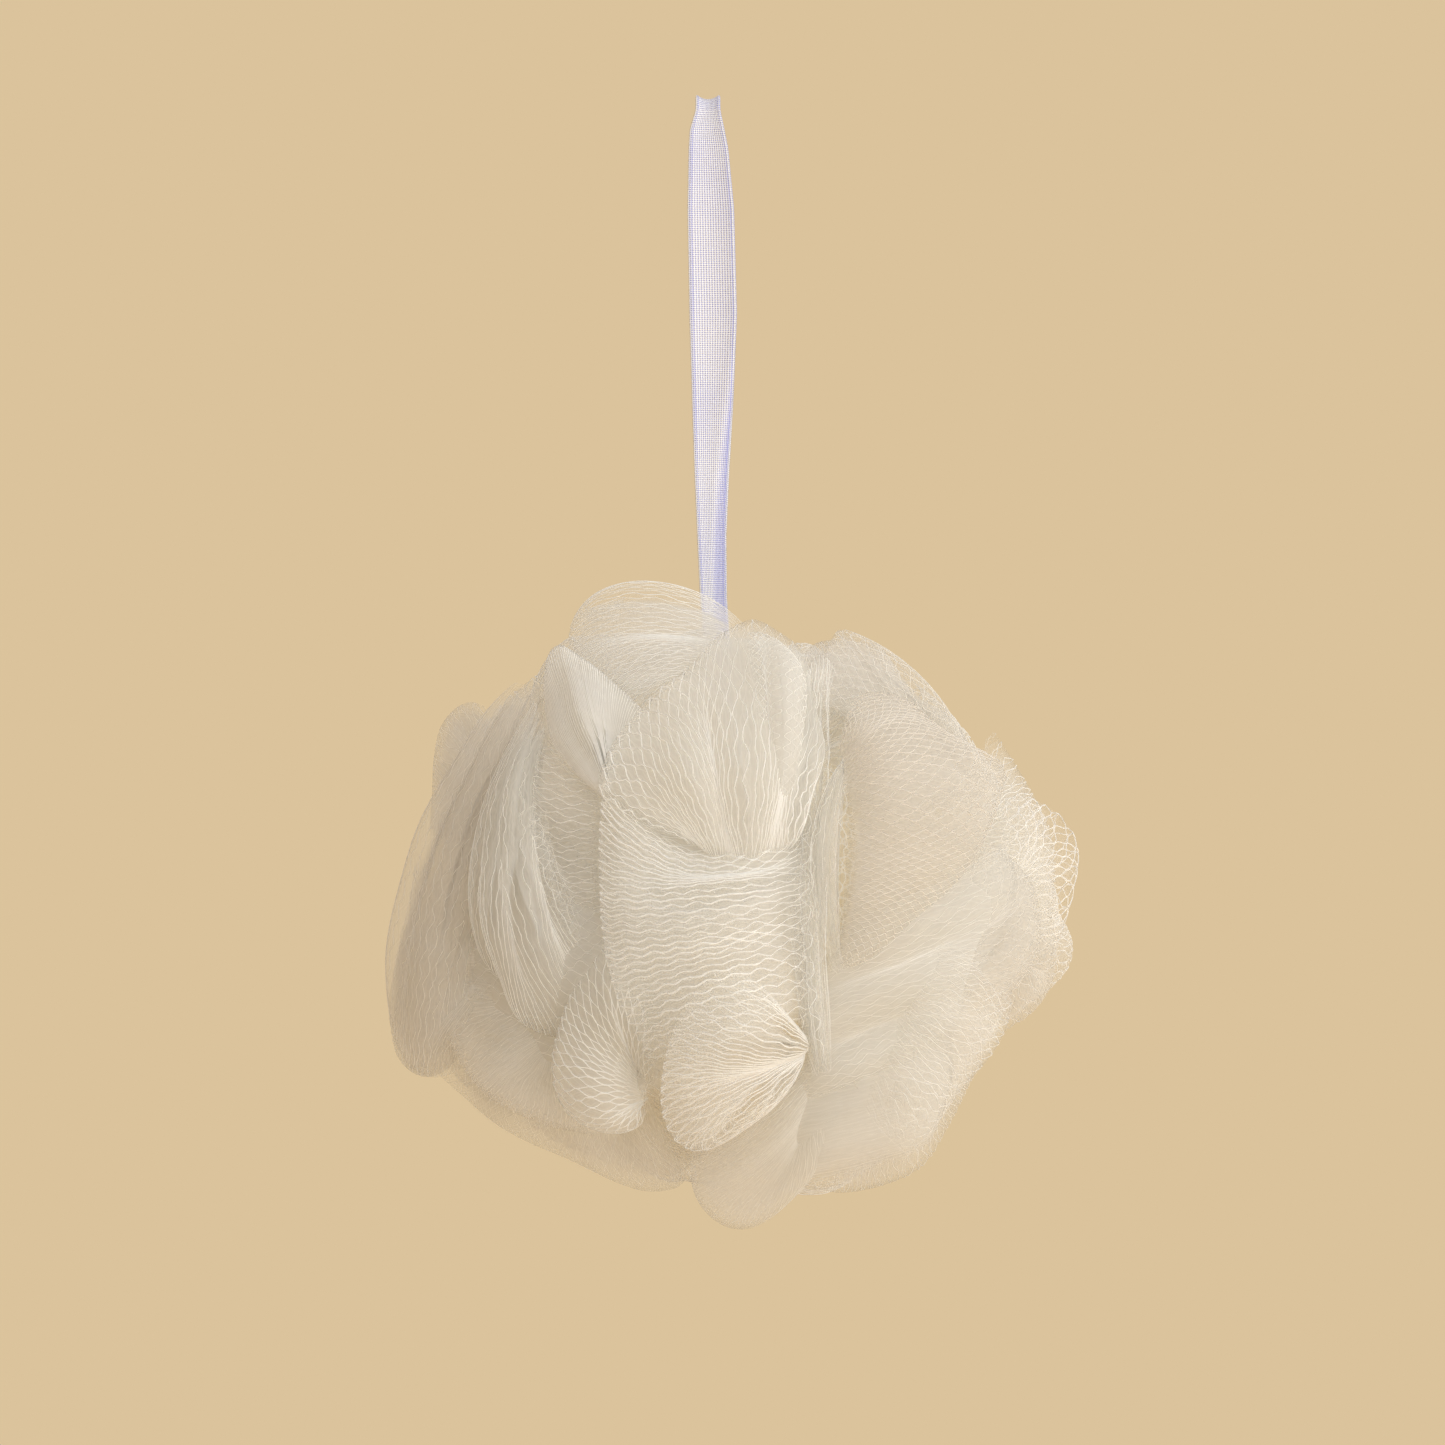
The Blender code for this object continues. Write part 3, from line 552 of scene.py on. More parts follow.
@dataclass(frozen=True)
class SpiralRule:
    """Rule that lays the leaves over the sides and the back of the ball.

    Attributes:
        count: leaves that a whole ball would have.
        first_depth: share of the depth at which the rule takes over.
        reach: half length of a leaf's rim, metres.
        drop: how far the rim's ends fall back, metres.
        lean: sideways lean of a leaf's root, metres.
        wave: sideways wave of the rim, metres.
        root_depth: how deep a leaf's root lies, metres.
        flatter: how much further out and sideways a root lies at the back, metres.
        back: share of the depth at which that starts, and over which it grows.
        closing: directions of further leaves that close the back.
        edge: how far a rim lies inside the outer form, metres.
        turn: turn of each rim from the one before, radians.
        bends: bend of the sideways wave over half a rim, radians.
        rim_points: points along a rim.
        pitch: mean gap between strands at the rim, metres.
    """

    count: int = 46
    first_depth: float = -0.36
    reach: float = 0.0300
    drop: float = 0.0100
    lean: float = 0.0170
    wave: float = 0.0060
    root_depth: float = 0.0300
    flatter: float = 0.0150
    back: Tuple[float, float] = (0.05, 0.4)
    closing: Tuple[Point, ...] = (
        (0.30, 0.93, 0.10), (0.20, 0.92, -0.30), (0.42, 0.86, -0.22), (0.02, 0.99, 0.12))
    edge: float = 0.0015
    turn: float = 2.4
    bends: float = 2.6
    rim_points: int = 9
    pitch: float = 0.0024

    def leaves(self, ball: BallForm) -> List[Leaf]:
        """Leaves of the sides and the back.

        Args:
            ball: outer form of the ball.

        Returns:
            The leaves, in shares of the ball's radius.
        """
        return [self._leaf(ball, i, way) for i, way in self._ways()]

    def _ways(self) -> List[Tuple[int, np.ndarray]]:
        """Numbers and directions of the leaves.

        Returns:
            Each leaf's number and unit direction from the heart.
        """
        golden = math.pi * (3.0 - math.sqrt(5.0))
        ways = []
        for i in range(self.count):
            depth = -1.0 + 2.0 * (i + 0.5) / self.count
            wide = math.sqrt(1.0 - depth * depth)
            turn = i * golden
            if depth >= self.first_depth:
                ways.append((i, np.array((wide * math.cos(turn), depth, wide * math.sin(turn)))))
        for i, way in enumerate(self.closing, start=self.count):
            ways.append((i, np.array(way) / np.linalg.norm(way)))
        return ways

    def _leaf(self, ball: BallForm, i: int, direction: np.ndarray) -> Leaf:
        """One leaf of the sides or the back.

        Args:
            ball: outer form of the ball.
            i: number of the leaf.
            direction: unit direction from the heart.

        Returns:
            The leaf, in shares of the ball's radius.
        """
        wide = math.hypot(direction[0], direction[2])
        helper = np.array((0.0, 1.0, 0.0) if wide > 0.3 else (1.0, 0.0, 0.0))
        side = np.cross(direction, helper)
        side /= np.linalg.norm(side)
        lift = np.cross(side, direction)
        twist = self.turn * i
        along = side * math.cos(twist) + lift * math.sin(twist)
        cross = np.cross(direction, along)
        tip = ball.point(direction, self.edge)
        rim = []
        for share in np.linspace(-1.0, 1.0, self.rim_points):
            wave = self.wave * math.sin(self.bends * share + i)
            fall = self.drop * share * share
            spot = tip + along * self.reach * share + cross * wave
            rim.append(tuple((spot - direction * fall) / ball.radius))
        start, growth = self.back
        flat = self.flatter * min(1.0, max(0.0, (direction[1] - start) / growth))
        root = ball.point(direction, self.root_depth - flat) + cross * (self.lean + flat)
        kind = i % 3
        return Leaf(
            f"side_leaf_{i:02d}", (tuple(root / ball.radius),), tuple(rim),
            pitch=self.pitch, pleats=1.5 + 0.5 * kind, zig=0.16 + 0.14 * kind,
            wavy=0.18 - 0.06 * kind, hook=0.2, thick=0.55, drawn=1.12, fine=False)


def smooth_curve(points: np.ndarray, count: int, steps: int = 16) -> np.ndarray:
    """Evenly spaced points on a Catmull-Rom curve.

    Args:
        points: points that the curve passes through, one row each.
        count: number of points wanted.
        steps: points that each stretch between two given ones is sampled at.

    Returns:
        The points on the curve, one row each.
    """
    knots = np.asarray(points, float)
    if len(knots) == 2:
        share = np.linspace(0.0, 1.0, count)[:, None]
        return knots[0] * (1.0 - share) + knots[1] * share
    ends = np.vstack((2 * knots[0] - knots[1], knots, 2 * knots[-1] - knots[-2]))
    fine = []
    for i in range(len(knots) - 1):
        p0, p1, p2, p3 = ends[i : i + 4]
        for t in np.linspace(0.0, 1.0, steps, endpoint=False):
            fine.append(0.5 * (
                2 * p1 + (p2 - p0) * t
                + (2 * p0 - 5 * p1 + 4 * p2 - p3) * t**2
                + (3 * p1 - p0 - 3 * p2 + p3) * t**3))
    fine.append(knots[-1])
    line = np.array(fine)
    run = np.concatenate(([0.0], np.cumsum(np.linalg.norm(np.diff(line, axis=0), axis=1))))
    even = np.linspace(0.0, run[-1], count)
    return np.stack([np.interp(even, run, line[:, k]) for k in range(3)], axis=1)


@dataclass(frozen=True)
class SoftNoise:
    """Smooth repeatable unevenness in space, from a few slanted waves.

    Attributes:
        length: main wavelength, metres.
        seed: seed of the waves.
        waves: number of waves.
        spread: shortest and longest wave, as shares of the main one.
        turn: widest shift of a wave, radians.
    """

    length: float
    seed: int
    waves: int = 7
    spread: Tuple[float, float] = (0.7, 1.6)
    turn: float = 6.283

    def at(self, points: np.ndarray) -> np.ndarray:
        """Unevenness at points.

        Args:
            points: array whose last axis is x, y, z in metres.

        Returns:
            Values about -1 to 1, without the last axis.
        """
        made = np.random.default_rng(self.seed)
        total = np.zeros(points.shape[:-1])
        for _ in range(self.waves):
            way = made.normal(size=3)
            way /= np.linalg.norm(way)
            pace = 2.0 * math.pi / (self.length * made.uniform(*self.spread))
            total += np.sin(points @ way * pace + made.uniform(0.0, self.turn))
        return total / math.sqrt(self.waves)


class LeafSurface:
    """The two layers of one leaf as a surface that can be sampled anywhere.

    Args:
        leaf: the leaf.
        ball: outer form of the ball.
        index: number of the leaf, which sets its unevenness.
    """

    ACROSS = 150
    ALONG = 60
    PINCH_SHARE = 0.10
    HALF_MIDDLE = 0.0030
    HALF_RIM = 0.0008
    PLEAT = 0.0011
    CRUMPLE = 0.0010
    CRUMPLE_LENGTH = 0.022
    CRUMPLE_SEED = 40
    PHASE_STEP = 0.37
    SOFTENED = 13
    LEAST_STRANDS = 8
    LEAST_CELLS = 4
    TINY = 1e-12
    SWELL_POWER = 0.8
    PLEAT_POWER = 0.7
    BELLY_POWER = 0.7
    SIDE_POWER = 0.5
    SIDE_SHARE = 0.02
    BUNCH_LEAN = 0.15
    BUNCH_STEP = 1.7

    def __init__(self, leaf: Leaf, ball: BallForm, index: int) -> None:
        """Lays out the leaf's lines.

        Args:
            leaf: the leaf's lines and settings.
            ball: outer form of the ball.
            index: number of the leaf, which sets its unevenness.
        """
        self.leaf = leaf
        self.index = index
        self.phase = self.PHASE_STEP * index
        rim = smooth_curve(np.array(leaf.rim) * ball.radius, self.ACROSS)
        roots = np.array(leaf.root) * ball.radius
        if len(roots) == 1:
            roots = np.vstack((roots, roots))
        given = np.array(leaf.rim) * ball.radius
        if len(roots) == len(leaf.rim):
            pinch = self._opposite(given, roots)
        else:
            pinch = smooth_curve(roots, self.ACROSS)
            pinch = pinch + self.PINCH_SHARE * (rim - rim.mean(axis=0))
        u = np.linspace(0.0, 1.0, self.ACROSS)[:, None, None]
        v = np.linspace(0.0, 1.0, self.ALONG)[None, :, None]
        if leaf.mid:
            mid = self._opposite(given, np.array(leaf.mid) * ball.radius)[:, None, :]
            sheet = pinch[:, None, :] * ((1.0 - v) * (1.0 - 2.0 * v))
            sheet = sheet + mid * (4.0 * v * (1.0 - v))
            sheet = sheet + rim[:, None, :] * (v * (2.0 * v - 1.0))
        else:
            sheet = pinch[:, None, :] * (1.0 - v) + rim[:, None, :] * v
        normal, facing = self._normals(sheet)
        swell = np.sin(math.pi * v**self.SWELL_POWER)
        pleat = np.sin(2.0 * math.pi * (leaf.pleats * u + self.phase))
        pleat = pleat * np.sin(math.pi * v) ** self.PLEAT_POWER
        unevenness = SoftNoise(self.CRUMPLE_LENGTH, self.CRUMPLE_SEED + index)
        crumple = unevenness.at(sheet)[..., None] * np.sqrt(v)
        sheet = sheet + facing * leaf.puff * swell
        sheet = sheet + normal * (self.PLEAT * pleat + self.CRUMPLE * crumple)
        self.middle = sheet + np.array(ball.centre)
        self.normal, _ = self._normals(sheet)
        self.length = np.linalg.norm(np.diff(sheet, axis=1), axis=2).sum(axis=1).mean()
        rim_length = np.linalg.norm(np.diff(rim, axis=0), axis=1).sum()
        self.strands = max(self.LEAST_STRANDS, int(round(rim_length / leaf.pitch)))
        self.half_cells = max(self.LEAST_CELLS, int(round(self.length / leaf.cell)))

    def _opposite(self, rim: np.ndarray, roots: np.ndarray) -> np.ndarray:
        """Root line whose points stay opposite their own rim points.

        Args:
            rim: given rim points.
            roots: given root point of each rim point.

        Returns:
            Evenly counted points of the root line.
        """
        steps = np.linalg.norm(np.diff(rim, axis=0), axis=1)
        place = np.concatenate(([0.0], np.cumsum(steps)))
        even = np.linspace(0.0, place[-1], self.ACROSS)
        line = np.stack([np.interp(even, place, roots[:, k]) for k in range(3)], axis=1)
        kernel = hann(self.SOFTENED)
        spare = self.SOFTENED // 2
        padded = np.pad(line, ((spare, spare), (0, 0)), mode="edge")
        return np.stack([np.convolve(padded[:, k], kernel, "valid") for k in range(3)], axis=1)

    def _normals(self, sheet: np.ndarray) -> Tuple[np.ndarray, np.ndarray]:
        """Outward normals of a grid, and their mean.

        Args:
            sheet: grid of points counted from the heart.

        Returns:
            The unit normals and the mean unit normal.
        """
        normal = np.cross(np.gradient(sheet, axis=0), np.gradient(sheet, axis=1))
        facing = normal.mean(axis=(0, 1))
        if np.dot(facing, sheet.mean(axis=(0, 1))) < 0.0:
            normal = -normal
            facing = -facing
        size = np.linalg.norm(normal, axis=2, keepdims=True)
        facing = facing / max(np.linalg.norm(facing), self.TINY)
        return normal / np.maximum(size, self.TINY), facing

    def _read(self, grid: np.ndarray, u: np.ndarray, v: np.ndarray) -> np.ndarray:
        """Bilinear reading of a grid.

        Args:
            grid: values over the leaf.
            u: place along the rim, 0 to 1.
            v: place from root to rim, 0 to 1.

        Returns:
            The values at those places.
        """
        x = np.clip(u, 0.0, 1.0) * (self.ACROSS - 1)
        y = np.clip(v, 0.0, 1.0) * (self.ALONG - 1)
        i = np.minimum(x.astype(int), self.ACROSS - 2)
        j = np.minimum(y.astype(int), self.ALONG - 2)
        a = (x - i)[..., None]
        b = (y - j)[..., None]
        low = grid[i, j] * (1.0 - a) + grid[i + 1, j] * a
        high = grid[i, j + 1] * (1.0 - a) + grid[i + 1, j + 1] * a
        return low * (1.0 - b) + high * b

    def bunched(self, u: np.ndarray, w: np.ndarray) -> np.ndarray:
        """Place along the rim once the strands bunch together unevenly.

        Args:
            u: even place along the rim.
            w: place along the strand, 0 to 2.

        Returns:
            The bunched place.
        """
        k = 2.0 + self.index % 2
        turn = 2.0 * math.pi * (k * u + self.BUNCH_LEAN * w) + self.BUNCH_STEP * self.index
        return u + self.leaf.gather * np.sin(turn) / (2.0 * math.pi * k)

    def at(self, u: np.ndarray, w: np.ndarray) -> np.ndarray:
        """Points on the folded sheet.

        Args:
            u: place along the rim, 0 to 1.
            w: 0 at the outer root, 1 at the rim, 2 at the inner root.

        Returns:
            Points in the row frame.
        """
        v = 1.0 - np.abs(1.0 - w)
        side = np.sign(1.0 - w)
        belly = np.sin(math.pi * np.clip(v, 0.0, 1.0)) ** self.BELLY_POWER
        held = np.clip(u, self.SIDE_SHARE, 1.0 - self.SIDE_SHARE)
        belly = belly * np.sin(math.pi * held) ** self.SIDE_POWER
        half = self.HALF_MIDDLE * self.leaf.plump * belly
        half = half + self.HALF_RIM * np.sqrt(np.maximum(1.0 - v**8, 0.0))
        middle = self._read(self.middle, u, v)
        normal = self._read(self.normal, u, v)
        return middle + normal * (side * half)[..., None]


class StrandNet:
    """Drawn strands of many leaves, as lines that Geometry Nodes make round.

    Attributes:
        points: places along the strands.
        widths: thickness of the strands there, as a share.
        shades: how far the strands there are painted with the shade of other leaves.
        edges: pairs of neighbouring places.
    """

    LOOP = 0.0013
    PAIR_REACH = 0.0016
    THINNEST = 0.15
    STEPS_FINE = 4
    STEPS_COARSE = 2
    RIM_STEPS = (0.0003, 0.0006, 0.0010, 0.0016)
    SEED = 500
    SHAKE = 0.035
    LANE_SHIFT = 0.06
    UNEVEN_WIDTH = 0.12
    KNOT = 0.22
    KNOT_POWER = 6
    LEAST_EASE = 0.78
    JOINT = 1.15
    SLIP = 0.7
    SLIP_SHAKE = 0.25
    CALM = 0.7
    OPEN_STEEPNESS = 2.6
    VEIL_DEPTH = 1.1

    def __init__(self) -> None:
        """Starts with no strands."""
        self.points: List[np.ndarray] = []
        self.widths: List[np.ndarray] = []
        self.shades: List[np.ndarray] = []
        self.edges: List[np.ndarray] = []
        self.size = 0

    def add(self, surface: LeafSurface) -> None:
        """Adds one leaf's strands.

        Args:
            surface: the leaf's surface.
        """
        leaf = surface.leaf
        per_cell = self.STEPS_FINE if leaf.fine else self.STEPS_COARSE
        steps = int(surface.half_cells * leaf.drawn * per_cell) + 1
        near = np.array(self.RIM_STEPS) / surface.length
        w = np.concatenate((np.linspace(0.0, leaf.drawn, steps), 1.0 - near, 1.0 + near))
        w = np.sort(w)[None, :]
        steps = w.shape[1]
        row = np.arange(surface.strands)[:, None]
        made = np.random.default_rng(self.SEED + surface.index)
        turn = math.pi * surface.half_cells * w
        sign = np.where(row % 2 == 0, 1.0, -1.0)
        loose = self._loose(surface, row, w)
        ease = np.sin(0.31 * row + 1.9 * w + surface.index)
        ease = self.LEAST_EASE + (1.0 - self.LEAST_EASE) * ease
        swing = leaf.zig + (leaf.burst - leaf.zig) * loose * (leaf.burst > 0.0)
        near_rim = np.exp(-(((1.0 - w) * surface.length / self.PAIR_REACH) ** 2))
        joined = sign * np.clip(self.JOINT * np.cos(turn), -1.0, 1.0)
        zig = swing * joined * (1.0 - near_rim * (leaf.pair > 0.0))
        zig = zig + leaf.pair * sign * near_rim
        slip = self.SLIP * np.sin(0.23 * row + surface.index)
        slip = slip + made.normal(0.0, self.SLIP_SHAKE, (len(row), 1))
        calm = 1.0 - self.CALM * loose * (leaf.burst > 0.0)
        wavy = leaf.wavy * ease * calm * np.sin(turn + slip)
        hook = leaf.hook * np.clip((1.0 - w) * surface.length / self.LOOP, -1.0, 1.0)
        shake = made.normal(0.0, self.SHAKE, size=(surface.strands, steps))
        lane = made.normal(0.0, self.LANE_SHIFT, size=(surface.strands, 1))
        u = (row + 0.5 + zig + wavy + hook + shake + lane) / surface.strands
        u = surface.bunched(u, w + 0.0 * u)
        line = surface.at(u, w + 0.0 * u)
        count, length = line.shape[:2]
        self.points.append(line.reshape(-1, 3))
        width = leaf.thick * (1.0 + self.UNEVEN_WIDTH * made.normal(size=(count, 1)))
        knot = 1.0 + self.KNOT * np.abs(np.cos(turn)) ** self.KNOT_POWER
        self.widths.append((width * knot * self._faded(leaf, u, w)).reshape(-1))
        self.shades.append(np.full(count * length, leaf.shade))
        first = np.arange(count)[:, None] * length + np.arange(length - 1)[None, :]
        first = first.reshape(-1) + self.size
        self.edges.append(np.stack((first, first + 1), axis=1))
        self.size += count * length

    def _loose(self, surface: LeafSurface, row: np.ndarray, w: np.ndarray) -> np.ndarray:
        """How far the net opens up at places on a leaf.

        Args:
            surface: the leaf's surface.
            row: number of each strand.
            w: place along the strand, 0 to 2.

        Returns:
            0 where the strands lie close and 1 where the net is open.
        """
        zone = np.sin(0.17 * row + 2.1 * w + 1.3 * surface.index)
        zone = zone * np.sin(3.9 * w + 0.09 * row + 0.7 * surface.index)
        v = 1.0 - np.abs(1.0 - w)
        opening = surface.leaf.opening
        if opening is Opening.ROOT:
            zone = 0.55 - 1.5 * v + 0.5 * zone
        elif opening is Opening.RIM:
            zone = 1.6 * v - 0.9 + 0.4 * zone
        return np.clip(self.OPEN_STEEPNESS * zone, 0.0, 1.0)

    def _faded(self, leaf: Leaf, u: np.ndarray, w: np.ndarray) -> np.ndarray:
        """Thickness left where strands fade in from the root or blur in a veil.

        Args:
            leaf: the leaf.
            u: place along the rim, 0 to 1.
            w: place along the strand, 0 to 2.

        Returns:
            Shares of the thickness, from THINNEST to 1.
        """
        v = 1.0 - np.abs(1.0 - w)
        seen = eased(np.clip(v / leaf.fade, 0.0, 1.0)) + 0.0 * u
        side = np.clip(2.0 * np.minimum(u, 1.0 - u) / leaf.soft, 0.0, 1.0)
        seen = seen * eased(side)
        if leaf.veil:
            across, up, size = leaf.veil
            away = np.hypot(u - across, v - up) / size
            seen = seen * np.clip(1.0 - np.exp(-(away**2)) * self.VEIL_DEPTH, 0.0, 1.0)
        return self.THINNEST + (1.0 - self.THINNEST) * seen

    def mesh(self, name: str) -> bpy.types.Mesh:
        """The strands as a mesh of edges.

        Args:
            name: name of the mesh.

        Returns:
            The mesh.
        """
        points = np.concatenate(self.points)
        edges = np.concatenate(self.edges)
        mesh = bpy.data.meshes.new(name)
        mesh.vertices.add(len(points))
        mesh.vertices.foreach_set("co", points.astype(np.float32).ravel())
        for key, values in (("width", self.widths), ("shade", self.shades)):
            mark = mesh.attributes.new(key, "FLOAT", "POINT")
            mark.data.foreach_set("value", np.concatenate(values).astype(np.float32))
        mesh.edges.add(len(edges))
        mesh.edges.foreach_set("vertices", edges.astype(np.int32).ravel())
        mesh.update()
        return mesh


class NodeTree:
    """Short ways to write a shader tree.

    Args:
        owner: the material or world whose tree is written.
    """

    def __init__(self, owner: bpy.types.ID) -> None:
        """Clears the owner's tree.

        Args:
            owner: the material or world whose tree is written.
        """
        owner.use_nodes = True
        self.tree = owner.node_tree
        self.tree.nodes.clear()

    def node(self, kind: str, **settings: object) -> bpy.types.Node:
        """Adds a node.

        Args:
            kind: type of the node.
            settings: its properties.

        Returns:
            The node.
        """
        made = self.tree.nodes.new(kind)
        for key, value in settings.items():
            setattr(made, key, value)
        return made

    def link(self, start: bpy.types.NodeSocket, end: bpy.types.NodeSocket) -> None:
        """Joins two sockets.

        Args:
            start: output that is read.
            end: input that reads it.
        """
        self.tree.links.new(start, end)

    def math(self, kind: str, *values: object, clamp: bool = False) -> bpy.types.NodeSocket:
        """Adds a Math node.

        Args:
            kind: its operation.
            values: numbers or sockets for its inputs.
            clamp: whether the result is held between 0 and 1.

        Returns:
            Its output.
        """
        made = self.node("ShaderNodeMath", operation=kind, use_clamp=clamp)
        for i, value in enumerate(values):
            if isinstance(value, (int, float)):
                made.inputs[i].default_value = value
            else:
                self.link(value, made.inputs[i])
        return made.outputs[0]

    def mix(self, share: object, first: object, second: object) -> bpy.types.NodeSocket:
        """Adds a colour Mix node.

        Args:
            share: number or socket of the factor.
            first: colour or socket at 0.
            second: colour or socket at 1.

        Returns:
            Its colour output.
        """
        made = self.node("ShaderNodeMix", data_type="RGBA")
        for socket, value in ((0, share), (6, first), (7, second)):
            if isinstance(value, bpy.types.NodeSocket):
                self.link(value, made.inputs[socket])
            elif isinstance(value, (int, float)):
                made.inputs[socket].default_value = value
            else:
                made.inputs[socket].default_value = (*value, 1.0)
        return made.outputs[2]

    def mark(self, name: str) -> bpy.types.NodeSocket:
        """Reads a number stored on the mesh.

        Args:
            name: name of the attribute.

        Returns:
            Its value.
        """
        return self.node("ShaderNodeAttribute", attribute_name=name).outputs["Fac"]

    def object_place(self) -> bpy.types.NodeSocket:
        """Reads the place on the object.

        Returns:
            The object coordinates.
        """
        return self.node("ShaderNodeTexCoord").outputs["Object"]

    def noise(self, place: bpy.types.NodeSocket, scale: float,
              detail: float) -> bpy.types.NodeSocket:
        """Adds a Noise node.

        Args:
            place: coordinates that it reads.
            scale: its scale.
            detail: its detail.

        Returns:
            Its value.
        """
        made = self.node("ShaderNodeTexNoise")
        made.inputs["Scale"].default_value = scale
        made.inputs["Detail"].default_value = detail
        self.link(place, made.inputs["Vector"])
        return made.outputs[0]

    def bump(self, height: bpy.types.NodeSocket, strength: float,
             distance: float) -> bpy.types.NodeSocket:
        """Adds a Bump node.

        Args:
            height: the relief.
            strength: its strength.
            distance: depth of the relief, metres.

        Returns:
            The bumped normal.
        """
        made = self.node("ShaderNodeBump")
        made.inputs["Strength"].default_value = strength
        made.inputs["Distance"].default_value = distance
        self.link(height, made.inputs["Height"])
        return made.outputs[0]

    def plastic(self, colour: bpy.types.NodeSocket, roughness: float) -> bpy.types.Node:
        """Adds a Principled shader.

        Args:
            colour: its base colour.
            roughness: its roughness.

        Returns:
            The shader.
        """
        made = self.node("ShaderNodeBsdfPrincipled")
        made.inputs["Roughness"].default_value = roughness
        self.link(colour, made.inputs["Base Color"])
        return made

    def plain(self, kind: str, colour: bpy.types.NodeSocket) -> bpy.types.NodeSocket:
        """Adds a shader that needs only a colour.

        Args:
            kind: type of the shader.
            colour: its colour.

        Returns:
            Its output.
        """
        made = self.node(kind)
        self.link(colour, made.inputs["Color"])
        return made.outputs[0]

    def blend(self, share: object, first: bpy.types.NodeSocket,
              second: bpy.types.NodeSocket) -> bpy.types.NodeSocket:
        """Adds a Mix Shader node.

        Args:
            share: number or socket of the factor.
            first: shader at 0.
            second: shader at 1.

        Returns:
            Its output.
        """
        made = self.node("ShaderNodeMixShader")
        if isinstance(share, (int, float)):
            made.inputs[0].default_value = share
        else:
            self.link(share, made.inputs[0])
        self.link(first, made.inputs[1])
        self.link(second, made.inputs[2])
        return made.outputs[0]

    def show(self, surface: bpy.types.NodeSocket, kind: str = "ShaderNodeOutputMaterial") -> None:
        """Adds the output.

        Args:
            surface: shader that the surface shows.
            kind: type of the output node.
        """
        self.link(surface, self.node(kind).inputs["Surface"])


@dataclass(frozen=True)
class StrandFinish:
    """Smooth ivory plastic of the drawn strands.

    Attributes:
        pale: colour of the strands in the light.
        deep: warmer colour in patches.
        shaded: painted shade colour, for the shade of other leaves.
        patches: scale of the patches.
        roughness: roughness of the plastic.
        bending: index of refraction of the plastic.
        glow: share of the light that passes through the strands.
    """

    pale: Point = srgb(255, 255, 254)
    deep: Point = srgb(252, 250, 244)
    shaded: Point = srgb(206, 184, 146)
    patches: float = 45.0
    roughness: float = 0.38
    bending: float = 1.5
    glow: float = 0.35

    def make(self) -> bpy.types.Material:
        """Builds the material.

        Returns:
            The material.
        """
        material = bpy.data.materials.new("net_strand")
        tree = NodeTree(material)
        patch = tree.noise(tree.object_place(), self.patches, 2.0)
        colour = tree.mix(patch, self.pale, self.deep)
        # Painted shade: the leaf's shade share mixes the strands' colour towards a warm shade
        # colour.
        colour = tree.mix(tree.mark("shade"), colour, self.shaded)
        shader = tree.plastic(colour, self.roughness)
        shader.inputs["IOR"].default_value = self.bending
        glow = tree.plain("ShaderNodeBsdfTranslucent", colour)
        tree.show(tree.blend(self.glow, shader.outputs[0], glow))
        return material


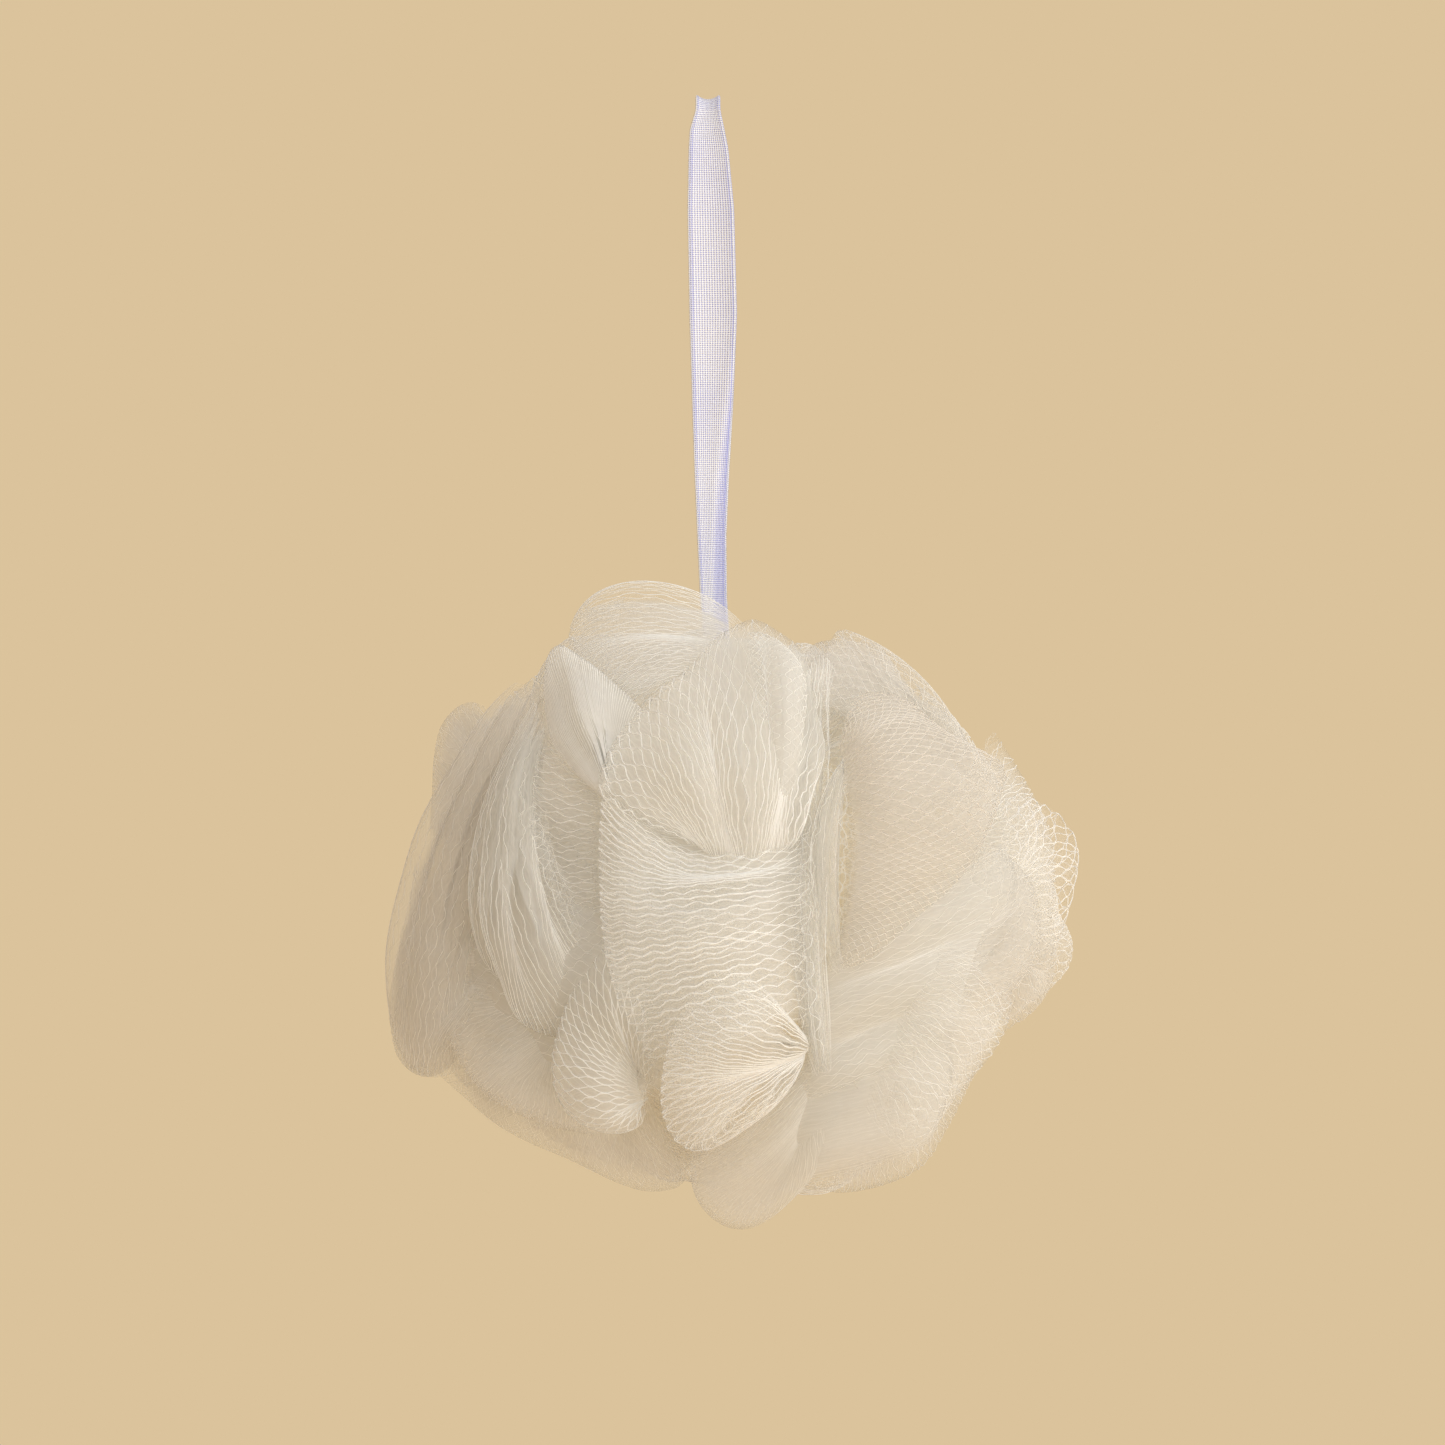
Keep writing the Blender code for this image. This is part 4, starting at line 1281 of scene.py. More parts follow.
@dataclass(frozen=True)
class HazeFinish:
    """Fine threads and further layers of net, read as a pale soft ground.

    Attributes:
        pale: colour where the threads lie close.
        deep: colour where they lie open.
        shaded: painted shade colour, for the shade of other leaves.
        patches: scale of the patches.
        strand: drawn width of a further net's strands, metres.
        glow: share of the light that passes through the threads.
        wide_net: strands to one drawn strand, shift and strength of a wider net.
        tight_net: strands to one drawn strand, shift and strength of a tighter net.
        own_net: strength of the leaf's own net where its strands aren't drawn.
        line_cover: cover that the lines of these nets add.
        most_cover: most cover that the haze may have.
    """

    pale: Point = srgb(248, 248, 247)
    deep: Point = srgb(241, 239, 232)
    shaded: Point = srgb(184, 160, 122)
    patches: float = 38.0
    strand: float = 0.00032
    glow: float = 0.50
    wide_net: Point = (0.71, 0.37, 0.22)
    tight_net: Point = (1.41, 0.77, 0.14)
    own_net: float = 0.7
    line_cover: float = 0.60
    most_cover: float = 0.97

    def make(self) -> bpy.types.Material:
        """Builds the material.

        Returns:
            The material.
        """
        material = bpy.data.materials.new("net_haze")
        tree = NodeTree(material)
        layer = tree.node("ShaderNodeUVMap", uv_map="net")
        split = tree.node("ShaderNodeSeparateXYZ")
        tree.link(layer.outputs[0], split.inputs[0])
        read = {name: tree.mark(name) for name in HAZE_MARKS}
        place = (split.outputs[0], split.outputs[1])
        nets = []
        for scale, shift, strength in (self.wide_net, self.tight_net):
            net = self._net(tree, place, read, scale, shift)
            nets.append(tree.math("MULTIPLY", net, strength))
        lines = tree.math("MAXIMUM", *nets)
        own = tree.math("MULTIPLY", read["lines"], self.own_net)
        own = tree.math("MULTIPLY", self._net(tree, place, read, 1.0, 0.0), own)
        lines = tree.math("MAXIMUM", lines, own)
        open_share = tree.math("SUBTRACT", 1.0, read["cover"], clamp=True)
        extra = tree.math("MULTIPLY", tree.math("MULTIPLY", lines, self.line_cover), open_share)
        haze = tree.math("ADD", read["cover"], extra)
        haze = tree.math("MINIMUM", haze, self.most_cover)
        patch = tree.noise(tree.object_place(), self.patches, 2.0)
        tone = tree.math("MULTIPLY_ADD", lines, 0.4, tree.math("MULTIPLY", patch, 0.6))
        colour = tree.mix(tone, self.deep, self.pale)
        # Painted shade: the leaf's shade share mixes the haze's colour towards a warm shade
        # colour.
        colour = tree.mix(read["shade"], colour, self.shaded)
        solid = tree.plain("ShaderNodeBsdfDiffuse", colour)
        glow = tree.plain("ShaderNodeBsdfTranslucent", colour)
        cloth = tree.blend(self.glow, solid, glow)
        clear = tree.node("ShaderNodeBsdfTransparent")
        tree.show(tree.blend(haze, clear.outputs[0], cloth))
        return material

    def _net(self, tree: NodeTree, place: Tuple[bpy.types.NodeSocket, bpy.types.NodeSocket],
             read: Dict[str, bpy.types.NodeSocket], scale: float,
             shift: float) -> bpy.types.NodeSocket:
        """Cover of one net, drawn on the leaf's own coordinates.

        Args:
            tree: the tree.
            place: place across the strands, in strands, and along them, in half cells.
            read: the leaf's gap between strands and the swings of its strands.
            scale: strands of this net to one drawn strand.
            shift: how far this net is shifted.

        Returns:
            1 on a strand and 0 beside it, with a soft edge.
        """
        x = tree.math("MULTIPLY_ADD", place[0], scale, shift)
        y = tree.math("MULTIPLY_ADD", place[1], math.pi * scale, shift * 9.0)
        row = tree.math("FLOOR", x)
        odd = tree.math("MODULO", row, 2.0)
        sign = tree.math("MULTIPLY_ADD", odd, -2.0, 1.0)
        swing = tree.math("MULTIPLY", tree.math("COSINE", y), sign)
        swing = tree.math("MULTIPLY", swing, read["zig"])
        drift = tree.math("MULTIPLY_ADD", row, 0.37, y)
        wave = tree.math("MULTIPLY", tree.math("SINE", drift), read["wavy"])
        off = tree.math("SUBTRACT", tree.math("FRACT", x), 0.5)
        off = tree.math("SUBTRACT", off, tree.math("ADD", swing, wave))
        off = tree.math("ABSOLUTE", off)
        off = tree.math("MULTIPLY", off, tree.math("DIVIDE", read["gap"], scale))
        off = tree.math("MULTIPLY_ADD", off, -2.0 / self.strand, 1.25)
        return tree.math("MULTIPLY", off, 1.6, clamp=True)


@dataclass(frozen=True)
class CoreFinish:
    """Crowded inner folds, seen as a warm cream depth between the leaves.

    Attributes:
        pale: colour on the ridges.
        deep: yellower colour in the hollows.
        strand: colour of the net's strands on the folds.
        cells: scale of the net's cells.
        strand_share: half width of a strand, as a share of a cell.
        roughness: roughness of the net.
    """

    pale: Point = srgb(242, 233, 210)
    deep: Point = srgb(228, 215, 184)
    strand: Point = srgb(252, 248, 236)
    cells: float = 420.0
    strand_share: float = 0.07
    roughness: float = 0.7

    def make(self) -> bpy.types.Material:
        """Builds the material.

        Returns:
            The material.
        """
        material = bpy.data.materials.new("net_core")
        tree = NodeTree(material)
        place = tree.object_place()
        patch = tree.noise(place, 70.0, 5.0)
        lines = tree.node("ShaderNodeTexWave")
        lines.inputs["Scale"].default_value = 260.0
        lines.inputs["Distortion"].default_value = 9.0
        lines.inputs["Detail Scale"].default_value = 0.6
        tree.link(place, lines.inputs["Vector"])
        share = tree.math("MULTIPLY_ADD", lines.outputs["Fac"], 0.15, patch)
        share = tree.math("SUBTRACT", share, 0.1, clamp=True)
        ground = tree.mix(share, self.deep, self.pale)
        net = tree.node("ShaderNodeTexVoronoi", feature="DISTANCE_TO_EDGE")
        net.inputs["Scale"].default_value = self.cells
        tree.link(place, net.inputs["Vector"])
        strand = tree.math("LESS_THAN", net.outputs["Distance"], self.strand_share)
        shader = tree.plastic(tree.mix(strand, ground, self.strand), self.roughness)
        tree.link(tree.bump(strand, 0.4, 0.0003), shader.inputs["Normal"])
        tree.show(shader.outputs[0])
        return material


@dataclass(frozen=True)
class CordFinish:
    """Matte twisted twine of the binding cord.

    Attributes:
        pale: colour of the twine.
        deep: colour between its strands.
        lay: scale of its twist.
        roughness: roughness of the twine.
    """

    pale: Point = srgb(236, 230, 214)
    deep: Point = srgb(206, 196, 170)
    lay: float = 420.0
    roughness: float = 0.8

    def make(self) -> bpy.types.Material:
        """Builds the material.

        Returns:
            The material.
        """
        material = bpy.data.materials.new("binding_twine")
        tree = NodeTree(material)
        lay = tree.node("ShaderNodeTexWave", bands_direction="DIAGONAL")
        lay.inputs["Scale"].default_value = self.lay
        lay.inputs["Distortion"].default_value = 1.5
        tree.link(tree.object_place(), lay.inputs["Vector"])
        height = lay.outputs["Fac"]
        shader = tree.plastic(tree.mix(height, self.deep, self.pale), self.roughness)
        tree.link(tree.bump(height, 0.7, 0.0003), shader.inputs["Normal"])
        tree.show(shader.outputs[0])
        return material


@dataclass(frozen=True)
class RibbonFinish:
    """White woven ribbon with a fine rib and a satin face.

    Attributes:
        pale: colour of the raised threads.
        shade: lilac grey between the threads.
        rib: spacing of the woven ribs, metres.
        slant: slant of the ribs.
        width: full width of the ribbon, metres.
        border: width of the bound edge, metres.
        seam: half width of the line beside the bound edge, metres.
        fold_shade: how much darker the side beyond the fold line is.
        roughness: roughness of the satin.
        sheen: strength of its sheen.
    """

    pale: Point = srgb(254, 254, 255)
    # shade: lilac grey between the threads, also reached by the painted shade beyond the fold.
    shade: Point = srgb(166, 170, 236)
    rib: float = 0.00092
    slant: float = 0.8
    width: float = 0.0100
    border: float = 0.00065
    seam: float = 0.00022
    # fold_shade: painted shade, how much darker the side beyond the fold line is coloured.
    fold_shade: float = 0.42
    roughness: float = 0.34
    sheen: float = 0.25

    def make(self) -> bpy.types.Material:
        """Builds the material.

        Returns:
            The material.
        """
        material = bpy.data.materials.new("ribbon_weave")
        tree = NodeTree(material)
        place = tree.node("ShaderNodeUVMap", uv_map="weave").outputs[0]
        split = tree.node("ShaderNodeSeparateXYZ")
        tree.link(place, split.inputs[0])
        across, along = split.outputs[0], split.outputs[1]
        pace = 2.0 * math.pi / self.rib
        ribs = []
        for slant in (self.slant, -self.slant):
            run = tree.math("MULTIPLY_ADD", across, slant, along)
            ribs.append(tree.math("SINE", tree.math("MULTIPLY", run, pace)))
        weave = tree.math("MULTIPLY_ADD", tree.math("MULTIPLY", *ribs), 0.85, 0.80, clamp=True)
        inside = tree.math("MINIMUM", across, tree.math("SUBTRACT", self.width, across))
        seam = tree.math("ABSOLUTE", tree.math("SUBTRACT", inside, self.border))
        seam = tree.math("MULTIPLY_ADD", seam, -1.0 / self.seam, 1.0, clamp=True)
        weave = tree.math("SUBTRACT", weave, tree.math("MULTIPLY", seam, 0.55), clamp=True)
        cast = tree.math("MULTIPLY_ADD", tree.noise(place, 60.0, 3.0), 0.5, -0.25)
        # Painted shade: the side beyond the fold line is darkened in colour.
        cast = tree.math("MULTIPLY_ADD", tree.mark("fold"), -self.fold_shade, cast)
        tone = tree.math("ADD", weave, cast, clamp=True)
        shader = tree.plastic(tree.mix(tone, self.shade, self.pale), self.roughness)
        shader.inputs["Sheen Weight"].default_value = self.sheen
        tree.link(tree.bump(weave, 0.7, 0.00025), shader.inputs["Normal"])
        tree.show(shader.outputs[0])
        return material


class StrandTubes:
    """Geometry Nodes tree that gives drawn strands their round section."""

    def __init__(self) -> None:
        """Writes the tree."""
        self.tree = bpy.data.node_groups.new("strand_tubes", "GeometryNodeTree")
        face = self.tree.interface
        face.new_socket("Strands", in_out="INPUT", socket_type="NodeSocketGeometry")
        self.radius, self.sides, self.finish = (
            face.new_socket(name, in_out="INPUT", socket_type="NodeSocket" + kind)
            for name, kind in (
                ("Strand radius", "Float"), ("Sides", "Int"), ("Finish", "Material")))
        face.new_socket("Net", in_out="OUTPUT", socket_type="NodeSocketGeometry")
        nodes, links = self.tree.nodes, self.tree.links
        enter = nodes.new("NodeGroupInput")
        leave = nodes.new("NodeGroupOutput")
        line = nodes.new("GeometryNodeMeshToCurve")
        width = nodes.new("GeometryNodeInputNamedAttribute")
        width.data_type = "FLOAT"
        width.inputs["Name"].default_value = "width"
        swell = nodes.new("GeometryNodeSetCurveRadius")
        ring = nodes.new("GeometryNodeCurvePrimitiveCircle")
        tube = nodes.new("GeometryNodeCurveToMesh")
        tube.inputs["Fill Caps"].default_value = True
        smooth = nodes.new("GeometryNodeSetShadeSmooth")
        real = nodes.new("GeometryNodeRealizeInstances")
        dress = nodes.new("GeometryNodeSetMaterial")
        links.new(enter.outputs["Strands"], line.inputs["Mesh"])
        links.new(enter.outputs["Sides"], ring.inputs["Resolution"])
        links.new(enter.outputs["Strand radius"], ring.inputs["Radius"])
        links.new(line.outputs["Curve"], swell.inputs["Curve"])
        links.new(width.outputs["Attribute"], swell.inputs["Radius"])
        links.new(swell.outputs["Curve"], tube.inputs["Curve"])
        if "Scale" in tube.inputs:
            links.new(width.outputs["Attribute"], tube.inputs["Scale"])
        links.new(ring.outputs["Curve"], tube.inputs["Profile Curve"])
        links.new(tube.outputs["Mesh"], smooth.inputs["Geometry"])
        links.new(smooth.outputs["Geometry"], real.inputs["Geometry"])
        links.new(real.outputs["Geometry"], dress.inputs["Geometry"])
        links.new(enter.outputs["Finish"], dress.inputs["Material"])
        links.new(dress.outputs["Geometry"], leave.inputs["Net"])

    def apply(self, mesh: bpy.types.Mesh, name: str, radius: float, sides: int,
              finish: bpy.types.Material) -> bpy.types.Object:
        """Turns a mesh of edges into round strands.

        Args:
            mesh: the edges.
            name: name of the finished piece.
            radius: radius of a strand, metres.
            sides: sides of a strand's section.
            finish: its material.

        Returns:
            The finished piece, a plain mesh at the origin.
        """
        lines = placed(name + "_lines", mesh)
        modifier = lines.modifiers.new("Strand tubes", "NODES")
        modifier.node_group = self.tree
        modifier[self.radius.identifier] = radius
        modifier[self.sides.identifier] = sides
        modifier[self.finish.identifier] = finish
        graph = bpy.context.evaluated_depsgraph_get()
        made = bpy.data.meshes.new_from_object(lines.evaluated_get(graph))
        made.name = name
        bpy.data.objects.remove(lines)
        bpy.data.meshes.remove(mesh)
        return placed(name, made)


@dataclass
class NettingBall:
    """The gathered ball of netting.

    Attributes:
        ball: outer form.
        spiral: rule for the leaves at the sides and the back.
        strand_radius: radius of a strand, metres.
        strand_sides: sides of a strand's section.
        tube_width: assumed width of the net tube laid flat, metres; not used.
        core_gap: how deep the inner folds lie, metres.
        core_folds: pace round the ball and height in metres of the inner folds.
        core_ridges: pace round the ball and height in metres of their ridges.
        most_triangles: triangles that one piece may hold.
    """

    FINE_GRID = (48, 22)
    COARSE_GRID = (26, 14)
    LEAF_SHIFT = 40
    SOFT_ROOT = 0.10
    ROOT_SHARE = 0.45
    PACKED = 0.00020
    RIM_REACH = 0.07
    RIM_FADE = 0.65
    LINING_FROM = 0.97
    LINING_OVER = 0.06
    LINES_OVER = 0.04

    ball: BallForm = field(default_factory=BallForm)
    spiral: SpiralRule = field(default_factory=SpiralRule)
    strand_radius: float = 0.000155
    strand_sides: int = 3
    tube_width: float = 0.24
    core_gap: float = 0.0190
    core_folds: Tuple[float, float] = (4.0, 0.0035)
    core_ridges: Tuple[float, float] = (9.0, 0.0020)
    most_triangles: int = 190000

    def surfaces(self) -> List[LeafSurface]:
        """Every leaf's surface.

        Returns:
            The surfaces, front first.
        """
        leaves = front_leaves() + self.spiral.leaves(self.ball)
        return [LeafSurface(leaf, self.ball, i) for i, leaf in enumerate(leaves)]

    def build(self) -> List[bpy.types.Object]:
        """Builds the haze, the strands and the inner folds.

        Returns:
            The finished pieces.
        """
        surfaces = self.surfaces()
        haze = self._haze(surfaces)
        core = self._core()
        strands = self._strands(surfaces)
        pieces = [haze, core, *strands]
        for piece in pieces:
            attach(piece, "root")
            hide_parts("net_ruffle")
        total = sum(len(face.vertices) - 2 for piece in pieces for face in piece.data.polygons)
        LOG.info("netting: %d triangles", total)
        return pieces

    def _haze(self, surfaces: List[LeafSurface]) -> bpy.types.Object:
        """Both layers of every leaf as one folded sheet each.

        Args:
            surfaces: the leaves' surfaces.

        Returns:
            The sheets as one finished piece.
        """
        points, faces, uvs = [], [], []
        marks: Dict[str, List[np.ndarray]] = {name: [] for name in HAZE_MARKS}
        start = 0
        for surface in surfaces:
            leaf = surface.leaf
            across, along = self.FINE_GRID if leaf.fine else self.COARSE_GRID
            u = np.linspace(0.0, 1.0, across)[:, None]
            w = np.linspace(0.0, 2.0, along * 2 + 1)[None, :]
            even_u, even_w = u + 0.0 * w, w + 0.0 * u
            grid = surface.at(surface.bunched(even_u, even_w), even_w)
            step = np.linalg.norm(np.gradient(grid, axis=0), axis=2)
            gap = step * (across - 1) / surface.strands
            index = np.arange(grid.shape[0] * grid.shape[1]).reshape(grid.shape[:2]) + start
            quads = np.stack((index[:-1, :-1], index[1:, :-1], index[1:, 1:], index[:-1, 1:]),
                             axis=2).reshape(-1, 4)
            start += index.size
            points.append(grid.reshape(-1, 3))
            faces.append(quads)
            uvs.append(np.stack((even_u * surface.strands + self.LEAF_SHIFT * surface.index,
                                 even_w * surface.half_cells), axis=2).reshape(-1, 2))
            inner = np.clip((even_w - self.LINING_FROM) / self.LINING_OVER, 0.0, 1.0)
            cover = leaf.cover + (leaf.lining - leaf.cover) * inner
            side = np.clip(np.minimum(even_u, 1.0 - even_u) / leaf.soft, 0.0, 1.0)
            fade = max(self.SOFT_ROOT, self.ROOT_SHARE * leaf.fade)
            root = np.clip(np.minimum(even_w, 2.0 - even_w) / fade, 0.0, 1.0)
            soft = eased(side) * eased(root)
            rim = np.exp(-(((even_w - 1.0) / self.RIM_REACH) ** 2))
            cover = (cover + self.PACKED / gap) * soft * (1.0 - self.RIM_FADE * rim)
            lines = np.clip((even_w - leaf.drawn) / self.LINES_OVER, 0.0, 1.0) * soft
            for name, values in (("gap", gap), ("cover", cover), ("lines", lines)):
                marks[name].append(values.reshape(-1))
            for name in ("zig", "wavy", "shade"):
                marks[name].append(np.full(index.size, getattr(leaf, name)))
        mesh = bpy.data.meshes.new("net_haze")
        mesh.from_pydata(np.concatenate(points), [], np.concatenate(faces).tolist())
        layer = mesh.uv_layers.new(name="net")
        corner = np.empty(len(mesh.loops), np.int32)
        mesh.loops.foreach_get("vertex_index", corner)
        layer.data.foreach_set("uv", np.concatenate(uvs)[corner].astype(np.float32).ravel())
        for name, values in marks.items():
            mark = mesh.attributes.new(name, "FLOAT", "POINT")
            mark.data.foreach_set("value", np.concatenate(values).astype(np.float32))
        mesh.shade_smooth()
        mesh.materials.append(HazeFinish().make())
        LOG.info("net_haze: %d leaves, %d faces", len(surfaces), len(mesh.polygons))
        return placed("net_haze", mesh)

    def _core(self) -> bpy.types.Object:
        """The crowded inner folds, one closed crumpled skin.

        Returns:
            The finished piece.
        """
        bm = bmesh.new()
        made = bmesh.ops.create_icosphere(bm, subdivisions=5, radius=1.0)
        centre = np.array(self.ball.centre)
        fold_pace, fold_height = self.core_folds
        ridge_pace, ridge_height = self.core_ridges
        for vert in made["verts"]:
            way = vert.co.normalized()
            point = Vector(self.ball.point(way, self.core_gap) + centre)
            fold = noise.noise(way * fold_pace) * fold_height
            ridge = (1.0 - abs(noise.noise(way * ridge_pace)) * 2.0) * ridge_height
            vert.co = point + way * (fold + ridge)
        bmesh.ops.recalc_face_normals(bm, faces=bm.faces[:])
        mesh = bpy.data.meshes.new("net_inner_folds")
        bm.to_mesh(mesh)
        bm.free()
        mesh.shade_smooth()
        mesh.materials.append(CoreFinish().make())
        return placed("net_inner_folds", mesh)

    def _strands(self, surfaces: List[LeafSurface]) -> List[bpy.types.Object]:
        """The drawn strands, in pieces of a bounded size.

        Args:
            surfaces: the leaves' surfaces.

        Returns:
            The finished pieces.
        """
        tubes = StrandTubes()
        finish = StrandFinish().make()
        pieces, waiting = [], StrandNet()
        limit = self.most_triangles // (2 * self.strand_sides)
        for surface in surfaces:
            trial = StrandNet()
            trial.add(surface)
            if waiting.size and waiting.size + trial.size > limit:
                pieces.append(self._tube(tubes, waiting, len(pieces), finish))
                waiting = StrandNet()
            waiting.add(surface)
        pieces.append(self._tube(tubes, waiting, len(pieces), finish))
        return pieces

    def _tube(self, tubes: StrandTubes, net: StrandNet, number: int,
              finish: bpy.types.Material) -> bpy.types.Object:
        """One piece of drawn strands.

        Args:
            tubes: Geometry Nodes tree that makes them round.
            net: the strands.
            number: how many such pieces there are already.
            finish: their material.

        Returns:
            The finished piece.
        """
        name = f"net_strands_{number + 1}"
        piece = tubes.apply(net.mesh(name + "_lines"), name, self.strand_radius,
                            self.strand_sides, finish)
        piece.visible_shadow = False
        LOG.info("%s: %d faces", name, len(piece.data.polygons))
        return piece


@dataclass
class HangingRibbon:
    """The woven ribbon, looped round the binding cord and out of the top.

    Attributes:
        width: full width of the ribbon, metres.
        thickness: thickness of the ribbon, metres.
        drawn_share: thickness that is drawn, as a share of the whole.
        arch: how far the ribbon arches across its width, metres.
        hook_radius: inside radius of the turn over the hook, metres.
        gap: widest gap between the two legs, metres.
        ball_shift: how far the heart of the ball lies to the right, metres.
        cord_top: height of the middle of the cord that the ribbon turns round.
        cord_radius: radius of that cord, metres.
        bite: gap between the ribbon and the cord, metres.
        top_share: share of the width at the hook.
        crease: height under the hook and place across, -1 to 1, of the fold line
            that runs down the front leg.
        crease_slope: how far the side beyond the fold line turns back, as a share.
        crease_pull: how far that side draws in, as a share.
        crease_shade: how fast that side's painted shade grows away from the line.
        stations: height under the hook, sideways shift, share of the width and
            share of the gap, down one leg.
    """

    TURN_STEPS = 12
    ALONG = 260
    ACROSS = 12
    OVERLAP = 3
    DENSE = 1600
    SOFTENED = 15

    width: float = 0.0100
    thickness: float = 0.0006
    drawn_share: float = 0.8
    arch: float = 0.0010
    hook_radius: float = 0.0026
    gap: float = 0.0088
    ball_shift: float = BALL_CENTRE[0]
    cord_top: float = -0.1632
    cord_radius: float = 0.0012
    bite: float = 0.0005
    top_share: float = 0.50
    crease: Tuple[Tuple[float, float], ...] = (
        (0.050, 1.05), (0.060, 0.80), (0.076, 0.35), (0.094, 0.00), (0.110, -0.25),
        (0.130, -0.30))
    crease_slope: float = 0.85
    crease_pull: float = 0.12
    crease_shade: float = 2.5
    stations: Tuple[Tuple[float, float, float, float], ...] = (
        (0.0066, -0.0002, 0.72, 0.78),
        (0.0108, 0.0001, 0.83, 0.85),
        (0.0236, 0.0006, 0.98, 0.96),
        (0.0460, 0.0011, 1.00, 1.00),
        (0.0640, 0.0010, 0.87, 0.95),
        (0.0800, 0.0008, 0.72, 0.85),
        (0.0930, 0.0008, 0.60, 0.75),
        (0.1065, 0.0012, 0.55, 0.66),
        (0.1300, 0.0028, 0.55, 0.60),
    )

    def _path(self) -> np.ndarray:
        """Middle line and width of the whole loop.

        Returns:
            One row a point: x, y, z and width.
        """
        half = self.thickness / 2
        angles = [math.pi * k / self.TURN_STEPS for k in range(self.TURN_STEPS + 1)]
        rows = []
        turn = self.hook_radius + half
        for angle in angles:
            height = -self.hook_radius + turn * math.sin(angle)
            rows.append((0.0, -turn * math.cos(angle), height, self.width * self.top_share))
        back = [(shift, self.gap * gap / 2, -height, self.width * share)
                for height, shift, share, gap in self.stations]
        rows += back
        low = self.cord_radius + self.bite + half
        last = self.width * self.stations[-1][2]
        for angle in angles:
            rows.append((self.ball_shift, low * math.cos(angle),
                         self.cord_top - low * math.sin(angle), last))
        rows += [(x, -y, z, w) for x, y, z, w in reversed(back)]
        return np.array(rows)

    def build(self) -> bpy.types.Object:
        """Builds the ribbon.

        Returns:
            The finished piece.
        """
        path = self._path()
        loop = np.vstack((path[-self.OVERLAP:], path, path[:self.OVERLAP + 1]))
        steps = np.linalg.norm(np.diff(loop[:, :3], axis=0), axis=1)
        run = np.concatenate(([0.0], np.cumsum(np.maximum(steps, 1e-6))))
        start, end = run[self.OVERLAP], run[self.OVERLAP + len(path)]
        count, across = self.ALONG, self.ACROSS
        even = np.linspace(start, end, count, endpoint=False)
        line = np.stack([self._smooth(run, loop[:, k], even) for k in range(4)], axis=1)
        bm = bmesh.new()
        # Share of painted shade beyond the fold line, read by the ribbon's finish.
        fold = bm.verts.layers.float.new("fold")
        rows = []
        for i in range(count):
            before, after = line[i - 1, :3], line[(i + 1) % count, :3]
            way = Vector(after - before).normalized()
            outward = way.cross(Vector((1.0, 0.0, 0.0))).normalized()
            row = []
            for k in range(across + 1):
                share = 2.0 * k / across - 1.0
                arch = self.arch * (0.5 - share * share)
                beyond = self._past_crease(line[i], share)
                past = beyond * line[i, 3] / 2
                spot = Vector(line[i, :3]) + Vector((share * line[i, 3] / 2, 0.0, 0.0))
                spot += Vector((-self.crease_pull * past, self.crease_slope * past, 0.0))
                vert = bm.verts.new(spot + outward * arch)
                vert[fold] = min(1.0, self.crease_shade * beyond)
                row.append(vert)
            rows.append(row)
        layer = bm.loops.layers.uv.new("weave")
        length = end - start
        for i in range(count):
            one, two = rows[i], rows[(i + 1) % count]
            for k in range(across):
                face = bm.faces.new((one[k], one[k + 1], two[k + 1], two[k]))
                marks = ((k, i), (k + 1, i), (k + 1, i + 1), (k, i + 1))
                for corner, (a, b) in zip(face.loops, marks):
                    corner[layer].uv = (a / across * self.width, b / count * length)
        mesh = bpy.data.meshes.new("hanging_ribbon")
        bm.to_mesh(mesh)
        bm.free()
        mesh.materials.append(RibbonFinish().make())
        piece = placed("hanging_ribbon", mesh)
        solid = piece.modifiers.new("Thickness", "SOLIDIFY")
        solid.thickness = self.thickness * self.drawn_share
        solid.offset = 0.0
        mesh.shade_smooth()
        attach(piece, "root")
        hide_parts("ribbon_loop")
        LOG.info("hanging_ribbon: %.3f m long", length)
        return piece

    def _past_crease(self, station: np.ndarray, share: float) -> float:
        """How far a place lies beyond the front leg's fold line.

        Args:
            station: x, y, z and width of the ribbon there.
            share: place across the ribbon, -1 to 1.

        Returns:
            The distance in half widths, 0 on the near side and on the back leg.
        """
        height = -station[2]
        if station[1] > -self.hook_radius or height < self.crease[0][0]:
            return 0.0
        heights = [place for place, _ in self.crease]
        line = np.interp(height, heights, [across for _, across in self.crease])
        return float(max(0.0, share - line))

    def _smooth(self, run: np.ndarray, values: np.ndarray, at: np.ndarray) -> np.ndarray:
        """Softened reading of values along the path.

        Args:
            run: distance of each value.
            values: the values.
            at: distances wanted.

        Returns:
            The values there.
        """
        dense = np.linspace(run[0], run[-1], self.DENSE)
        flat = np.interp(dense, run, values)
        padded = np.pad(flat, self.SOFTENED // 2, mode="edge")
        soft = np.convolve(padded, hann(self.SOFTENED), mode="valid")
        return np.interp(at, dense, soft)


